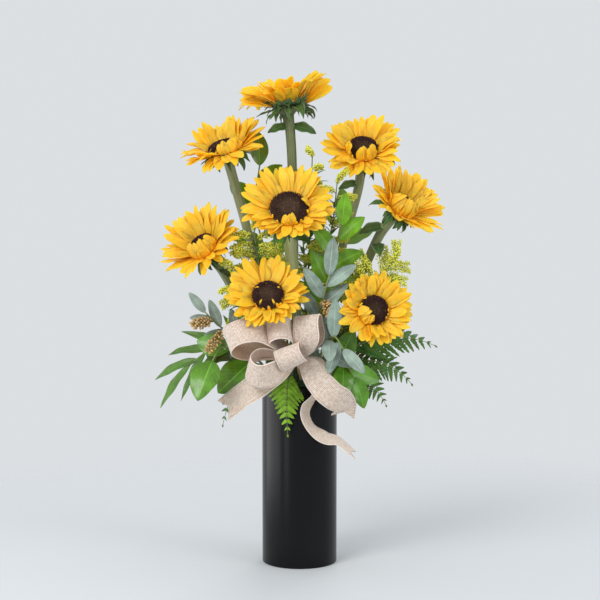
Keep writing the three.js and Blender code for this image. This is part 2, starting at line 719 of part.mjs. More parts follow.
function bowPick() {
  const [foot, top] = [vec(PICK_FOOT), vec(PICK_TOP)];
  const lean = top.clone().sub(foot).normalize();
  const below = foot.clone().addScaledVector(lean, -HOLE_GAP);
  holes.push(stalk(new THREE.LineCurve3(below, top), PICK_RADIUS + HOLE_GAP, 6, 1));
  place("bow_pick", stalk(new THREE.LineCurve3(foot, top), PICK_RADIUS, 6, 1), PAINT.wood);
}

// Leafy sprays.

// line: the stem's points above the foam, from low to high; foot: where it stands in the foam;
// leaves: how many; size: the longest leaf [length, width]; from: the share of the stem that is bare;
// open: the angle of a leaf to its stem; face: where the leaves' upper faces look.
const SPRAYS = [
  {
    name: "lemon_leaf_back_left", kind: "lemon", foot: [-12, 22],
    line: [[-34, 26, 400], [-62, 34, 480], [-56, 34, 560]], leaves: 9, size: [56, 30], from: 0.32,
    open: 48, face: [0, -0.8, 0.6],
  },
  {
    name: "lemon_leaf_right", kind: "lemon_young", foot: [12, -13],
    line: [[28, -36, 360], [46, -52, 430], [58, -56, 478]], leaves: 7, size: [54, 27], from: 0.5,
    open: 42, face: [0.1, -0.9, 0.4],
  },
  {
    name: "lemon_leaf_front_left", kind: "lemon", foot: [-28, -24],
    line: [[-66, -56, 290], [-98, -80, 313], [-112, -96, 311], [-117, -104, 297]], leaves: 3,
    size: [68, 46], from: 0.42, open: 50, face: [0.05, -0.9, 0.4],
  },
  {
    name: "lemon_leaf_front_right", kind: "lemon", foot: [33, -27],
    line: [[50, -62, 290], [64, -80, 288], [74, -84, 272]], leaves: 6, size: [54, 30], from: 0.35,
    open: 50, face: [0, -0.9, 0.4],
  },
  {
    name: "lemon_leaf_back_right", kind: "lemon", foot: [26, 20],
    line: [[44, 52, 350], [62, 80, 430], [66, 92, 480]], leaves: 6, size: [56, 31], from: 0.3, open: 50,
    face: [0.1, 0.8, 0.6],
  },
  {
    name: "lemon_leaf_back", kind: "lemon", foot: [-8, 34],
    line: [[-26, 66, 330], [-46, 92, 380], [-56, 104, 420]], leaves: 6, size: [56, 31], from: 0.25,
    open: 50, face: [-0.1, 0.85, 0.5],
  },
  {
    name: "ruscus_left", kind: "ruscus", foot: [-41, -16],
    line: [[-84, -36, 306], [-118, -50, 308], [-150, -56, 286]], leaves: 9, size: [84, 15], from: 0.34,
    open: 28, face: [-0.1, -0.7, 0.7],
  },
  {
    name: "eucalyptus_left", kind: "eucalyptus", foot: [-30, -14],
    line: [[-76, -46, 318], [-112, -74, 344], [-128, -84, 362]], leaves: 8, size: [42, 15], from: 0.35,
    open: 50, face: [0.1, -0.9, 0.4],
  },
  {
    name: "eucalyptus_centre", kind: "eucalyptus", foot: [12, -28],
    line: [[20, -62, 330], [32, -82, 380], [40, -84, 412]], leaves: 9, size: [56, 21], from: 0.3,
    open: 42, face: [0, -0.95, 0.3],
  },
  {
    name: "eucalyptus_right", kind: "eucalyptus", foot: [16, -38],
    line: [[28, -64, 300], [42, -98, 330], [52, -114, 328], [59, -117, 314]], leaves: 7, size: [54, 21],
    from: 0.4, open: 60, face: [0, -0.9, 0.4],
  },
];

const SPRAY_RADIUS = 1.7;
const pathOf = ({ foot, line }) => new StemPath(foot, 44, line.map(vec), 6);

function leaf(spray, curve, index, swing, scale) {
  const { leaves, size, from, open, face, kind } = spray;
  const shape = LEAVES[kind];
  const seed = SPRAYS.indexOf(spray) + 61;
  const isTop = index === leaves - 1;
  const share = from + ((1 - from) * (index + 0.3)) / (leaves - 0.7);
  const root = curve.getPoint(Math.min(share, 0.995));
  const along = curve.getTangent(Math.min(share, 0.995));
  const toFace = vec(face).normalize();
  const side = along.clone().cross(toFace).normalize();
  const turn = (index % 2 ? 0 : 180) + 22 * spread(seed, index, 1) + swing;
  const out = side.applyAxisAngle(along, rad(turn));
  const angle = rad(isTop ? 8 : open + 10 * spread(seed, index, 2));
  const forward = along.clone().multiplyScalar(Math.cos(angle)).addScaledVector(out, Math.sin(angle));
  const long = size[0] * (1 - 0.22 * Math.abs(share - 0.7) - 0.12 * draw(seed, index, 3)) * scale;
  return blade({
    root: root.addScaledVector(forward, -0.6),
    along: forward,
    up: toFace.addScaledVector(out, -0.15),
    length: long,
    width: (long / size[0]) * size[1],
    outline: shape.outline,
    bend: shape.bend + 0.2 * spread(seed, index, 4),
    fold: shape.fold,
  });
}

function leavesOf(spray) {
  const curve = pathOf(spray);
  const pieces = [];
  for (let index = 0; index < spray.leaves; index += 1) {
    const make = ([swing, scale]) => leaf(spray, curve, index, swing, scale);
    pieces.push(firstClear(spray.name, LEAF_WAYS, make));
  }
  fuse(spray.name, pieces);
}

// Seed clusters of the eucalyptus: capsules crowded on a twig that meets its stem at `share` of its way.
const CLUSTERS = [
  { name: "eucalyptus_seeds_left", stem: "eucalyptus_left", share: 0.79, way: [-18, -34, -26] },
  { name: "eucalyptus_seeds_outer", stem: "eucalyptus_left", share: 0.89, way: [-26, -24, -2] },
  { name: "eucalyptus_seeds_centre", stem: "eucalyptus_centre", share: 0.83, way: [9, -15, -22] },
];

const CLUSTER_RINGS = [[0.15, 2.2], [0.4, 3.2], [0.7, 3], [0.92, 1.8]];
// The ways tried to seat a cluster, as millimetres between the middle of the stem and its root.
const CLUSTER_WAYS = [1.7, 2, 2.3, 2.6, 3, 4];

function clusterOf({ name, stem, share, way }) {
  const along = vec(way);
  const foot = pathOf(SPRAYS.find((spray) => spray.name === stem)).getPoint(share);
  const make = (away) =>
    studded({
      root: foot.clone().add(along.clone().setLength(away)),
      along,
      up: new THREE.Vector3(0, 0, 1),
      length: along.length(),
      bend: 0.2,
      rings: CLUSTER_RINGS,
      sides: 5,
      stud: 4.5,
      ahead: 2,
    });
  place(name, firstClear(name, CLUSTER_WAYS, make), PAINT.seed);
}

// Ferns. spine: the frond's three curve points past its stalk; face: where its upper side looks;
// wide: its half width.
const FERNS = [
  {
    name: "fern_front", foot: [-10, -43], spine: [[-14, -62, 273], [-20, -76, 250], [-16, -62, 188]],
    face: [0, -1, 0.2], wide: 30,
  },
  {
    name: "fern_left", foot: [-22, -38], spine: [[-56, -52, 272], [-92, -70, 270], [-106, -52, 200]],
    face: [-0.3, -0.9, 0.2], wide: 30,
  },
  {
    name: "fern_right_upper", foot: [42, -4], spine: [[70, -36, 306], [130, -50, 338], [190, -24, 308]],
    face: [0.2, -0.7, 0.7], wide: 42,
  },
  {
    name: "fern_right_middle", foot: [44, 7], spine: [[66, -28, 284], [118, -50, 304], [156, -40, 256]],
    face: [0.2, -0.8, 0.6], wide: 40,
  },
  {
    name: "fern_right_lower", foot: [27, -36], spine: [[58, -50, 272], [98, -68, 278], [120, -60, 230]],
    face: [0.2, -0.85, 0.4], wide: 36,
  },
  {
    name: "fern_back", foot: [10, 42], spine: [[6, 66, 286], [10, 110, 300], [12, 140, 236]],
    face: [0, 0.8, 0.6], wide: 42,
  },
  {
    name: "fern_back_left", foot: [-30, 30], spine: [[-62, 42, 292], [-112, 72, 318], [-150, 84, 272]],
    face: [-0.4, 0.5, 0.8], wide: 42,
  },
  {
    name: "fern_back_right", foot: [26, 34], spine: [[48, 60, 284], [84, 96, 296], [108, 112, 236]],
    face: [0.4, 0.7, 0.6], wide: 40,
  },
];

const FERN_PAIRS = 10;

// A frond is one thin arched blade, cut to the rib between its leaflets. `turn` swings it about its root.
function frond(fern, turn) {
  const [root, middle, tip] = fern.spine.map(vec);
  const swing = (p) => p.sub(root).applyAxisAngle(new THREE.Vector3(0, 0, 1), rad(turn)).add(root);
  const spine = new THREE.QuadraticBezierCurve3(root, swing(middle), swing(tip));
  const [points, normals, triangles] = [[], [], []];
  const toFace = vec(fern.face).normalize();
  const put = (t, out, drop) => {
    const along = spine.getTangent(Math.min(t, 1));
    const side = along.clone().cross(toFace).normalize();
    const normal = side.clone().cross(along).normalize();
    points.push(spine.getPoint(Math.min(t, 1)).addScaledVector(side, out).addScaledVector(normal, -drop));
    normals.push(normal);
  };
  const rib = (t) => 1.5 * (1 - t) + 0.5;
  for (let k = 0; k <= FERN_PAIRS; k += 1) {
    const t = k / (FERN_PAIRS + 0.6);
    put(t, -rib(t), 0);
    put(t, rib(t), 0);
  }
  put(1, 0, 0);
  const tipIndex = points.length - 1;
  for (let k = 0; k < FERN_PAIRS; k += 1) {
    const t = k / (FERN_PAIRS + 0.6);
    const step = 1 / (FERN_PAIRS + 0.6);
    const lean = step * (0.8 + 2 * (1 - t));
    const reach = fern.wide * Math.pow(1 - t, 0.85) * (k === 0 ? 0.8 : 1) * (1 + 0.06 * spread(7, k, 1));
    for (const sign of [-1, 1]) {
      const inner = 2 * k + (sign < 0 ? 0 : 1);
      const tipAt = points.length;
      put(t + lean, sign * reach, reach * 0.14);
      if (sign < 0) triangles.push(inner, tipAt, inner + 2);
      else triangles.push(inner, inner + 2, tipAt);
    }
    const a = 2 * k;
    triangles.push(a, a + 2, a + 3, a, a + 3, a + 1);
  }
  triangles.push(2 * FERN_PAIRS, tipIndex, 2 * FERN_PAIRS + 1);
  return thicken(points, normals, triangles, SHEET);
}

function fernStalk(fern) {
  const root = vec(fern.spine[0]);
  const ahead = vec(fern.spine[1]).sub(root).normalize();
  const line = [root, root.clone().addScaledVector(ahead, 9)];
  return standing(new StemPath(fern.foot, 30, line, 4), 1.5, 4);
}

const FROND_WAYS = [0, 4, -4, 8, -8, 12, -12, 17, -17, 22, -22];

function frondOf(fern) {
  fuse(fern.name, [firstClear(fern.name, FROND_WAYS, (turn) => frond(fern, turn))]);
}

// Goldenrod: a stem with side plumes, each crowded with florets. open is the angle of a plume to its stem.
const GOLDENROD = [
  {
    name: "goldenrod_left", foot: [-22, -12], line: [[-40, -24, 340], [-54, -38, 410], [-62, -50, 470]],
    plumes: 30, reach: 52, from: 0.3, open: 56,
  },
  {
    name: "goldenrod_left_low", foot: [-25, -3],
    line: [[-50, -24, 332], [-80, -48, 372], [-90, -58, 412]], plumes: 13, reach: 46, from: 0.36, open: 52,
  },
  {
    name: "goldenrod_centre", foot: [4, -1], line: [[12, 6, 400], [16, 4, 520], [18, 4, 574]],
    plumes: 9, reach: 22, from: 0.66, open: 44,
  },
  {
    name: "goldenrod_mid_right", foot: [18, 0], line: [[30, -8, 400], [46, -18, 480], [52, -22, 536]],
    plumes: 20, reach: 42, from: 0.36, open: 50,
  },
  {
    name: "goldenrod_right", foot: [41, -14], line: [[66, -24, 340], [94, -32, 388], [122, -36, 418]],
    plumes: 21, reach: 74, from: 0.26, open: 36,
  },
  {
    name: "goldenrod_back", foot: [6, 27], line: [[8, 48, 380], [4, 66, 470], [0, 72, 530]], plumes: 7,
    reach: 46, from: 0.42, open: 52,
  },
];

const PLUME_RINGS = [[0.2, 2.4], [0.5, 3.6], [0.84, 2.2]];

// The plumes stand to the left and right of the stem in turn, within 62 degrees of the front view's plane.
function plume(plant, curve, index, swing, scale) {
  const seed = GOLDENROD.indexOf(plant) + 91;
  const share = plant.from + ((1 - plant.from) * (index + 0.4)) / plant.plumes;
  const isTop = index === plant.plumes - 1;
  const root = curve.getPoint(isTop ? 0.98 : share);
  const along = curve.getTangent(isTop ? 0.98 : share);
  const side = new THREE.Vector3(1, 0.2, 0).cross(along).normalize();
  const turn = (index % 2 ? 90 : -90) + 62 * spread(seed, index, 1) + swing;
  const out = side.applyAxisAngle(along, rad(turn));
  const angle = rad(isTop ? 4 : plant.open + 12 * spread(seed, index, 2));
  return studded({
    root,
    along: along.clone().multiplyScalar(Math.cos(angle)).addScaledVector(out, Math.sin(angle)),
    up: along,
    length: plant.reach * (1 - 0.5 * (share - plant.from)) * scale,
    bend: 0.7,
    rings: PLUME_RINGS,
    sides: 3,
    stud: 4.5,
    ahead: 4,
  });
}

const PLUME_WAYS = [
  [0, 1], [20, 1], [-20, 1], [40, 0.9], [-40, 0.9], [0, 0.7], [70, 0.8], [-70, 0.8], [120, 0.7],
  [180, 0.7], [0, 0.5],
];

function plumesOf(plant) {
  const curve = pathOf(plant);
  const pieces = [];
  for (let index = 0; index < plant.plumes; index += 1) {
    const make = ([swing, scale]) => plume(plant, curve, index, swing, scale);
    pieces.push(firstClear(plant.name, PLUME_WAYS, make));
  }
  fuse(plant.name, pieces);
}

// Stems first, then heads, the bow and the foliage, each clear of what stands already.
place("vase", vase(), PAINT.black);
for (const flower of SUNFLOWERS) {
  place(`sunflower_${flower.name}_stem`, flowerStem(flower, headFrame(flower)), PAINT.stem);
}
bowPick();
const sprayStem = (spray) => standing(pathOf(spray), SPRAY_RADIUS, 4);
for (const spray of SPRAYS) place(spray.name, sprayStem(spray), PAINT[spray.kind]);
for (const plant of GOLDENROD) place(plant.name, sprayStem(plant), PAINT.goldenrod);
for (const fern of FERNS) place(fern.name, fernStalk(fern), PAINT.fern);
for (const flower of SUNFLOWERS) {
  const frame = headFrame(flower);
  const wide = flower.disc + RING_OUT;
  const plate = new THREE.CylinderGeometry(wide, wide, 2 * PLATE, 12).rotateX(Math.PI / 2);
  place(`sunflower_${flower.name}_petals`, inFrame(frame, solidOf(plate)), PAINT.petal);
  place(`sunflower_${flower.name}_disc`, inFrame(frame, discOf(flower)), PAINT.disc);
}
bow();
for (const flower of SUNFLOWERS) petalsOf(flower, `sunflower_${flower.name}_petals`, headFrame(flower));
for (const flower of SUNFLOWERS) bractsOf(flower, `sunflower_${flower.name}_stem`, headFrame(flower));
FERNS.forEach(frondOf);
CLUSTERS.forEach(clusterOf);
SPRAYS.forEach(leavesOf);
GOLDENROD.forEach(plumesOf);
place("floral_foam", foam(), PAINT.foam);

const arrangement = new THREE.Group();
for (const [name, solid] of placed) arrangement.add(meshOf(name, solid, paints.get(name)));

export default arrangement;
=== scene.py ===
"""Dresses a packed sunflower arrangement: eight sunflowers, goldenrod, eucalyptus, lemon leaf, ruscus and
fern in a black cylinder vase, with a burlap bow.

Sizes in this file are millimetres and turn into metres when a mesh is made. +Z is up and the viewer looks
along +Y. Each finer piece is placed by the formulas that placed its solid in the frame.
"""

import bpy
import numpy as np
from bpy.props import FloatProperty, FloatVectorProperty, IntProperty, PointerProperty
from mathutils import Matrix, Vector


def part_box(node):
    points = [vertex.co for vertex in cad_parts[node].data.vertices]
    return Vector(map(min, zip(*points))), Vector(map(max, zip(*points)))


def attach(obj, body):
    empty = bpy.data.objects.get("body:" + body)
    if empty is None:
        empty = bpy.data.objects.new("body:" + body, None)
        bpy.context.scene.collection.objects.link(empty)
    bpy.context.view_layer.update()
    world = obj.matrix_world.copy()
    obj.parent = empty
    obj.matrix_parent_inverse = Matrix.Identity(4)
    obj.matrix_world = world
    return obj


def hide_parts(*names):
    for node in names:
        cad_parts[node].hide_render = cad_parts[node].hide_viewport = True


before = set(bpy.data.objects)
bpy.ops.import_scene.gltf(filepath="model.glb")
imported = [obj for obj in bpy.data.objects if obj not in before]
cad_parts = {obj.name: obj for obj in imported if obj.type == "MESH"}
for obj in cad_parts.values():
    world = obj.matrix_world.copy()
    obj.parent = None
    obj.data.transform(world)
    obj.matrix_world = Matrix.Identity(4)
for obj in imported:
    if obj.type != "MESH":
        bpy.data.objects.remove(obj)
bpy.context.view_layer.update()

bl_info = {
    "name": "Sunflower arrangement",
    "version": (1, 0, 0),
    "blender": (4, 5, 0),
    "location": "3D View > Sidebar > Arrangement",
    "description": "Builds the flowers, leaves, bow, vase and stage of a sunflower arrangement",
    "category": "Add Mesh",
}

MM = 0.001
UP = np.array([0.0, 0.0, 1.0])

# The foam that every stem stands in, and the vase round it.
FOAM_TOP = 268
FOAM_BOTTOM = 6.3
FOAM_RADIUS = 48.6
FOAM_CHAMFER = 7
FAN_DEPTH = 200
STEP_OVER = 2
VASE_FLOOR = 6
VASE_LIP = 1.2

# Parts of a sunflower's head: petals in each of its two rows, solid bracts round its cup, the plate under the
# disc with the gap over it, and the cup's depth.
PETALS_IN_ROW = 10
BRACTS = 6
PLATE = 1.8
GAP = 0.3
NECK = 15
# The cup's radius where it meets the stem.
NECK_RADIUS = 6.6
# A folded petal: how many degrees it tips forward, its bend in radians and how far outside the disc it roots.
FOLD_TIP = 74
FOLD_BEND = -1.05
FOLD_OUT = 2.2

# Degrees from one floret, capsule or goldenrod leaf to the next.
GOLDEN_ANGLE = 137.508
# Seed capsules in a cluster, and narrow leaves on a goldenrod stem.
CAPSULES = 64
NARROW_LEAVES = 46
# Thickness of the solids' petals, bracts and leaves along their middle.
SOLID_SHEET = 1.3
# How near a corner of a node has to be to a mark for the two to be the same point.
SAME_POINT = 0.05
# The share of a curve over which its direction is taken.
SMALL_STEP = 1e-4

# Ways in which a solid petal, leaf, bract, plume or frond may have been placed clear of its neighbours.
PETAL_WAYS = [
    (0, 1), (9, 1), (-9, 1), (18, 1), (-18, 0.95), (27, 0.9), (0, 0.8), (36, 0.85), (12, 0.65), (40, 0.6),
]
BRACT_WAYS = [(0, 1), (14, 1), (-8, 1), (28, 1), (42, 0.9), (20, 0.7), (55, 0.7), (0, 0.6)]
LEAF_WAYS = [
    (0, 1), (16, 1), (-16, 1), (32, 1), (-32, 1), (50, 0.9), (-50, 0.9), (0, 0.72), (75, 0.8),
    (-75, 0.8), (110, 0.8), (-110, 0.8), (30, 0.55), (-30, 0.55), (180, 0.7),
]
PLUME_WAYS = [
    (0, 1), (20, 1), (-20, 1), (40, 0.9), (-40, 0.9), (0, 0.7), (70, 0.8), (-70, 0.8), (120, 0.7),
    (180, 0.7), (0, 0.5),
]
FROND_WAYS = [0, 4, -4, 8, -8, 12, -12, 17, -17, 22, -22]

# head: middle of the flower; face: the way it looks; disc: radius of the brown middle; petal: length of
# the longest petals; rise and lift: how far they tip forward; foot: where its stem stands; big: the longer
# bract; leaves: [share up the stem, degrees round, length]; folded: where a petal folds in over the middle;
# tuck: the share of its length that it keeps; curl: how far it bends over, in radians; arch: how far petals
# arch out, in radians; broad: how wide they are; oval: how much longer they are at the left and right; skew:
# [degrees round, share] where they are longer and by how much; sag: [degrees round, degrees] where they tip
# forward less and by how much; roll: degrees that petals at the sides roll to the viewer; cup: how much
# deeper they fold along their middle; crown: [degrees round, degrees forward] of broad petals that stand up;
# neck: the stem's radius under the cup, where it is stout; tongues: where a short petal of the inner rim
# lies over the florets; pale: the share of the palest green in its stem.
SUNFLOWERS = [
    dict(name="top", head=(-16, 16, 643), face=(-0.1, 0.06, 1), disc=25, petal=46, rise=70, lift=4,
         foot=(-4, 8), big=(310, 1.7), leaves=[(0.95, 345, 40), (0.95, 200, 34)], folded=(), tongues=(),
         arch=0.9, oval=0.14, broad=1.2, sag=(190, 30), roll=46, cup=0.22, pale=0.05,
         crown=[(206, 16), (192, 34), (178, 50), (164, 58), (150, 66), (132, 70), (112, 74), (30, 52),
                (12, 42), (-8, 30)]),
    dict(name="upper_left", head=(-103, 0, 580), face=(-0.24, -0.3, 0.92), disc=23, petal=42, rise=30,
         lift=-18, foot=(-22, 12), big=(330, 1.1), leaves=[], folded=(270, 305, 340), tongues=(), tuck=0.5,
         curl=-1.2, broad=1.1),
    dict(name="upper_right", head=(88, 12, 579), face=(-0.02, -0.72, 0.69), disc=21, petal=39, rise=31,
         lift=-4, foot=(14, 14), big=(10, 1.5), leaves=[(0.87, 205, 32)], folded=(205, 270, 310),
         tongues=()),
    dict(name="right", head=(139, -36, 500), face=(0.5, -0.6, 0.62), disc=19, petal=44, rise=46,
         lift=-4, foot=(33, -2), big=(200, 1.8), leaves=[(0.9, 190, 40), (0.8, 275, 38)],
         folded=(190, 225, 260, 300, 340), tongues=(), tuck=0.75, curl=-1.3),
    # The centre's pale=1.0 gives its stem the palest green as painted light, for the frontal light that its
    # head shades here.
    dict(name="centre", head=(-14, -72, 499), face=(0, -0.8, 0.6), disc=26, petal=41, rise=24,
         lift=6, foot=(2, -12), big=(250, 1.1), leaves=[(0.84, 330, 30)], folded=(18, 270),
         tongues=(), neck=10, curl=-1.4, skew=(130, 0.18), pale=1.0),
    dict(name="left", head=(-131, -40, 446), face=(-0.44, -0.66, 0.6), disc=19, petal=45, rise=38,
         lift=-4, foot=(-36, -4), big=(300, 1.2), leaves=[(0.84, 290, 30)],
         folded=(234, 270, 306, 342), tongues=(), tuck=0.65, curl=-1.3),
    dict(name="front", head=(-42, -103, 384), face=(-0.05, -0.82, 0.57), disc=21, petal=36, rise=24,
         lift=4, foot=(-14, -27), big=(180, 1.0), leaves=[], folded=(), tongues=(30, 95, 150, 235, 300),
         skew=(120, 0.12)),
    dict(name="lower_right", head=(99, -92, 364), face=(0.22, -0.93, 0.3), disc=20, petal=35, rise=32,
         lift=6, foot=(22, -22), big=(180, 1.2), leaves=[(0.8, 190, 34)], folded=(198, 234),
         tongues=(), tuck=0.8, curl=-1.7, skew=(340, 0.12)),
]

# Leaf kinds: the solid's outline as [share of length, share of width], its bend and fold, and the two powers
# of the smooth outline sin(pi * t ** early) ** full that passes through it.
LEAVES = {
    "lemon_young": dict(corners=[(0.22, 0.76), (0.52, 1), (0.82, 0.6)], bend=0.3, fold=0.2,
                        early=0.9, full=0.8),
    "lemon": dict(corners=[(0.22, 0.76), (0.52, 1), (0.82, 0.6)], bend=0.35, fold=0.16,
                  early=0.9, full=0.78),
    "ruscus": dict(corners=[(0.3, 1), (0.66, 0.8)], bend=0.6, fold=0.2, early=0.75, full=0.9),
    "eucalyptus": dict(corners=[(0.28, 0.95), (0.7, 0.9)], bend=0.25, fold=0.12, early=0.92, full=0.6),
}

# line: the stem's points above the foam; foot: where it stands; leaves: how many; size: the longest leaf;
# bare: the share of the stem without leaves; open: a leaf's angle to the stem; face: where leaves look.
SPRAYS = [
    dict(name="lemon_leaf_back_left", kind="lemon", foot=(-12, 22),
         line=[(-34, 26, 400), (-62, 34, 480), (-56, 34, 560)], leaves=9, size=(56, 30), bare=0.32,
         open=48, face=(0, -0.8, 0.6)),
    dict(name="lemon_leaf_right", kind="lemon_young", foot=(12, -13),
         line=[(28, -36, 360), (46, -52, 430), (58, -56, 478)], leaves=7, size=(54, 27), bare=0.5,
         open=42, face=(0.1, -0.9, 0.4)),
    dict(name="lemon_leaf_front_left", kind="lemon", foot=(-28, -24),
         line=[(-66, -56, 290), (-98, -80, 313), (-112, -96, 311), (-117, -104, 297)], leaves=3,
         size=(68, 46), bare=0.42, open=50, face=(0.05, -0.9, 0.4)),
    dict(name="lemon_leaf_front_right", kind="lemon", foot=(33, -27),
         line=[(50, -62, 290), (64, -80, 288), (74, -84, 272)], leaves=6, size=(54, 30), bare=0.35,
         open=50, face=(0, -0.9, 0.4)),
    dict(name="lemon_leaf_back_right", kind="lemon", foot=(26, 20),
         line=[(44, 52, 350), (62, 80, 430), (66, 92, 480)], leaves=6, size=(56, 31), bare=0.3,
         open=50, face=(0.1, 0.8, 0.6)),
    dict(name="lemon_leaf_back", kind="lemon", foot=(-8, 34),
         line=[(-26, 66, 330), (-46, 92, 380), (-56, 104, 420)], leaves=6, size=(56, 31), bare=0.25,
         open=50, face=(-0.1, 0.85, 0.5)),
    dict(name="ruscus_left", kind="ruscus", foot=(-41, -16),
         line=[(-84, -36, 306), (-118, -50, 308), (-150, -56, 286)], leaves=9, size=(84, 15), bare=0.34,
         open=28, face=(-0.1, -0.7, 0.7)),
    dict(name="eucalyptus_left", kind="eucalyptus", foot=(-30, -14),
         line=[(-76, -46, 318), (-112, -74, 344), (-128, -84, 362)], leaves=8, size=(42, 15), bare=0.35,
         open=50, face=(0.1, -0.9, 0.4)),
    dict(name="eucalyptus_centre", kind="eucalyptus", foot=(12, -28),
         line=[(20, -62, 330), (32, -82, 380), (40, -84, 412)], leaves=9, size=(56, 21), bare=0.3,
         open=42, face=(0, -0.95, 0.3)),
    dict(name="eucalyptus_right", kind="eucalyptus", foot=(16, -38),
         line=[(28, -64, 300), (42, -98, 330), (52, -114, 328), (59, -117, 314)], leaves=7,
         size=(54, 21), bare=0.4, open=60, face=(0, -0.9, 0.4)),
]

CLUSTERS = [
    dict(name="eucalyptus_seeds_left", stem="eucalyptus_left", share=0.79, way=(-18, -34, -26)),
    dict(name="eucalyptus_seeds_outer", stem="eucalyptus_left", share=0.89, way=(-26, -24, -2)),
    dict(name="eucalyptus_seeds_centre", stem="eucalyptus_centre", share=0.83, way=(9, -15, -22)),
]
CLUSTER_AWAY = 2

# spine: the frond's three curve points past its stalk; face: where its upper side looks; wide: half width;
# young: whether its leaflets are broad and bright.
FERNS = [
    dict(name="fern_front", foot=(-10, -43), spine=[(-14, -62, 273), (-20, -76, 250), (-16, -62, 188)],
         face=(0, -1, 0.2), wide=30, young=True),
    dict(name="fern_left", foot=(-22, -38), spine=[(-56, -52, 272), (-92, -70, 270), (-106, -52, 200)],
         face=(-0.3, -0.9, 0.2), wide=30),
    dict(name="fern_right_upper", foot=(42, -4), spine=[(70, -36, 306), (130, -50, 338), (190, -24, 308)],
         face=(0.2, -0.7, 0.7), wide=42),
    dict(name="fern_right_middle", foot=(44, 7), spine=[(66, -28, 284), (118, -50, 304), (156, -40, 256)],
         face=(0.2, -0.8, 0.6), wide=40),
    dict(name="fern_right_lower", foot=(27, -36), spine=[(58, -50, 272), (98, -68, 278), (120, -60, 230)],
         face=(0.2, -0.85, 0.4), wide=36),
    dict(name="fern_back", foot=(10, 42), spine=[(6, 66, 286), (10, 110, 300), (12, 140, 236)],
         face=(0, 0.8, 0.6), wide=42),
    dict(name="fern_back_left", foot=(-30, 30), spine=[(-62, 42, 292), (-112, 72, 318), (-150, 84, 272)],
         face=(-0.4, 0.5, 0.8), wide=42),
    dict(name="fern_back_right", foot=(26, 34), spine=[(48, 60, 284), (84, 96, 296), (108, 112, 236)],
         face=(0.4, 0.7, 0.6), wide=40),
]
FERN_PAIRS = 10
FERN_SHEET = 0.8

# line and foot as for the sprays; plumes: how many; reach: the longest; bare: the share without plumes;
# open: the angle of a plume to its stem.
GOLDENROD = [
    dict(name="goldenrod_left", foot=(-22, -12), line=[(-40, -24, 340), (-54, -38, 410), (-62, -50, 470)],
         plumes=30, reach=52, bare=0.3, open=56),
    dict(name="goldenrod_left_low", foot=(-25, -3),
         line=[(-50, -24, 332), (-80, -48, 372), (-90, -58, 412)], plumes=13, reach=46, bare=0.36, open=52),
    dict(name="goldenrod_centre", foot=(4, -1), line=[(12, 6, 400), (16, 4, 520), (18, 4, 574)],
         plumes=9, reach=22, bare=0.66, open=44),
    dict(name="goldenrod_mid_right", foot=(18, 0), line=[(30, -8, 400), (46, -18, 480), (52, -22, 536)],
         plumes=20, reach=42, bare=0.36, open=50),
    dict(name="goldenrod_right", foot=(41, -14), line=[(66, -24, 340), (94, -32, 388), (122, -36, 418)],
         plumes=21, reach=74, bare=0.26, open=36),
    dict(name="goldenrod_back", foot=(6, 27), line=[(8, 48, 380), (4, 66, 470), (0, 72, 530)],
         plumes=7, reach=46, bare=0.42, open=52),
]
PLUME_RINGS = [(0.2, 2.4), (0.5, 3.6), (0.84, 2.2)]
PLUME_SIDES = 3
PLUME_STUD = 4.5
PLUME_AHEAD = 4
PLUME_BEND = 0.7

# The bow's knot, its loops (bands round an oval) and its tails (strips along points, each with the way
# across the ribbon there and the share of its width that is spread flat).
KNOT = (-4, -96, 299)
KNOT_RADIUS = 8.6
LOOPS = [
    dict(centre=(-70, -106, 326), axis=(0.22, -0.62, -0.75), reach=28, deep=23, flare=0.08),
    dict(centre=(-47, -120, 294), axis=(-0.06, -0.66, 0.75), reach=22, deep=20, flare=0.24),
    dict(centre=(-26, -104, 334), axis=(0.1, -0.6, -0.79), reach=19, deep=16, flare=0.05),
    dict(centre=(-11, -122, 306), axis=(0.9, -0.16, 0.4), reach=17, deep=14, flare=0.04),
    dict(centre=(13, -102, 333), axis=(0.95, -0.3, 0.1), reach=26, deep=14, flare=0),
]
TAILS = [
    [
        ((-6, -94, 296), (0, 0.5, 1), 0.3), ((-26, -97, 281), (-0.3, 0.5, 0.8), 0.7),
        ((-50, -97, 267), (-0.4, 0.5, 0.7), 1), ((-74, -94, 252), (-0.4, 0.5, 0.7), 1),
        ((-96, -90, 234), (-0.25, 0.5, 0.85), 1),
    ],
    [
        ((-2, -94, 297), (0.6, 0, 0.6), 0.3), ((12, -104, 290), (0.9, 0, 0.5), 0.8),
        ((28, -112, 268), (0.88, 0, 0.5), 1), ((44, -112, 252), (0.86, 0.1, 0.5), 1),
        ((57, -104, 243), (0.8, 0.2, 0.55), 1), ((63, -94, 234), (0.9, 0.2, 0.35), 0.9),
        ((61, -88, 226), (0.95, -0.1, 0.1), 0.9),
    ],
    [
        ((-2, -92, 297), (0.4, 0.4, 0.6), 0.3), ((24, -90, 290), (0.3, 0.6, 0.7), 0.7),
        ((36, -90, 272), (0.5, 0.85, 0.2), 1), ((27, -90, 252), (0.6, 0.8, 0), 1),
        ((12, -86, 238), (0.55, 0.85, 0.1), 1), ((8, -84, 221), (0.3, 0.95, 0.1), 1),
        ((18, -84, 201), (0.15, 0.95, 0.25), 1), ((36, -84, 190), (0.1, 0.95, 0.3), 1),
        ((51, -82, 186), (0.1, 0.95, 0.25), 0.9), ((69, -80, 171), (0.1, 0.98, 0.15), 0.8),
    ],
]
RIBBON_THICK = 0.9
# How far a notch cuts into a tail's end, and the run of ribbon that is one step of its v.
NOTCH = 10
RIBBON_STEP = 36


# Sizes and colours that a user would change.

def size(name, description, default, low=0.0):
    """A length in metres."""
    return FloatProperty(name=name, description=description, default=default, min=low, unit="LENGTH")


def share(name, description, default):
    """A plain number."""
    return FloatProperty(name=name, description=description, default=default, min=0.0)


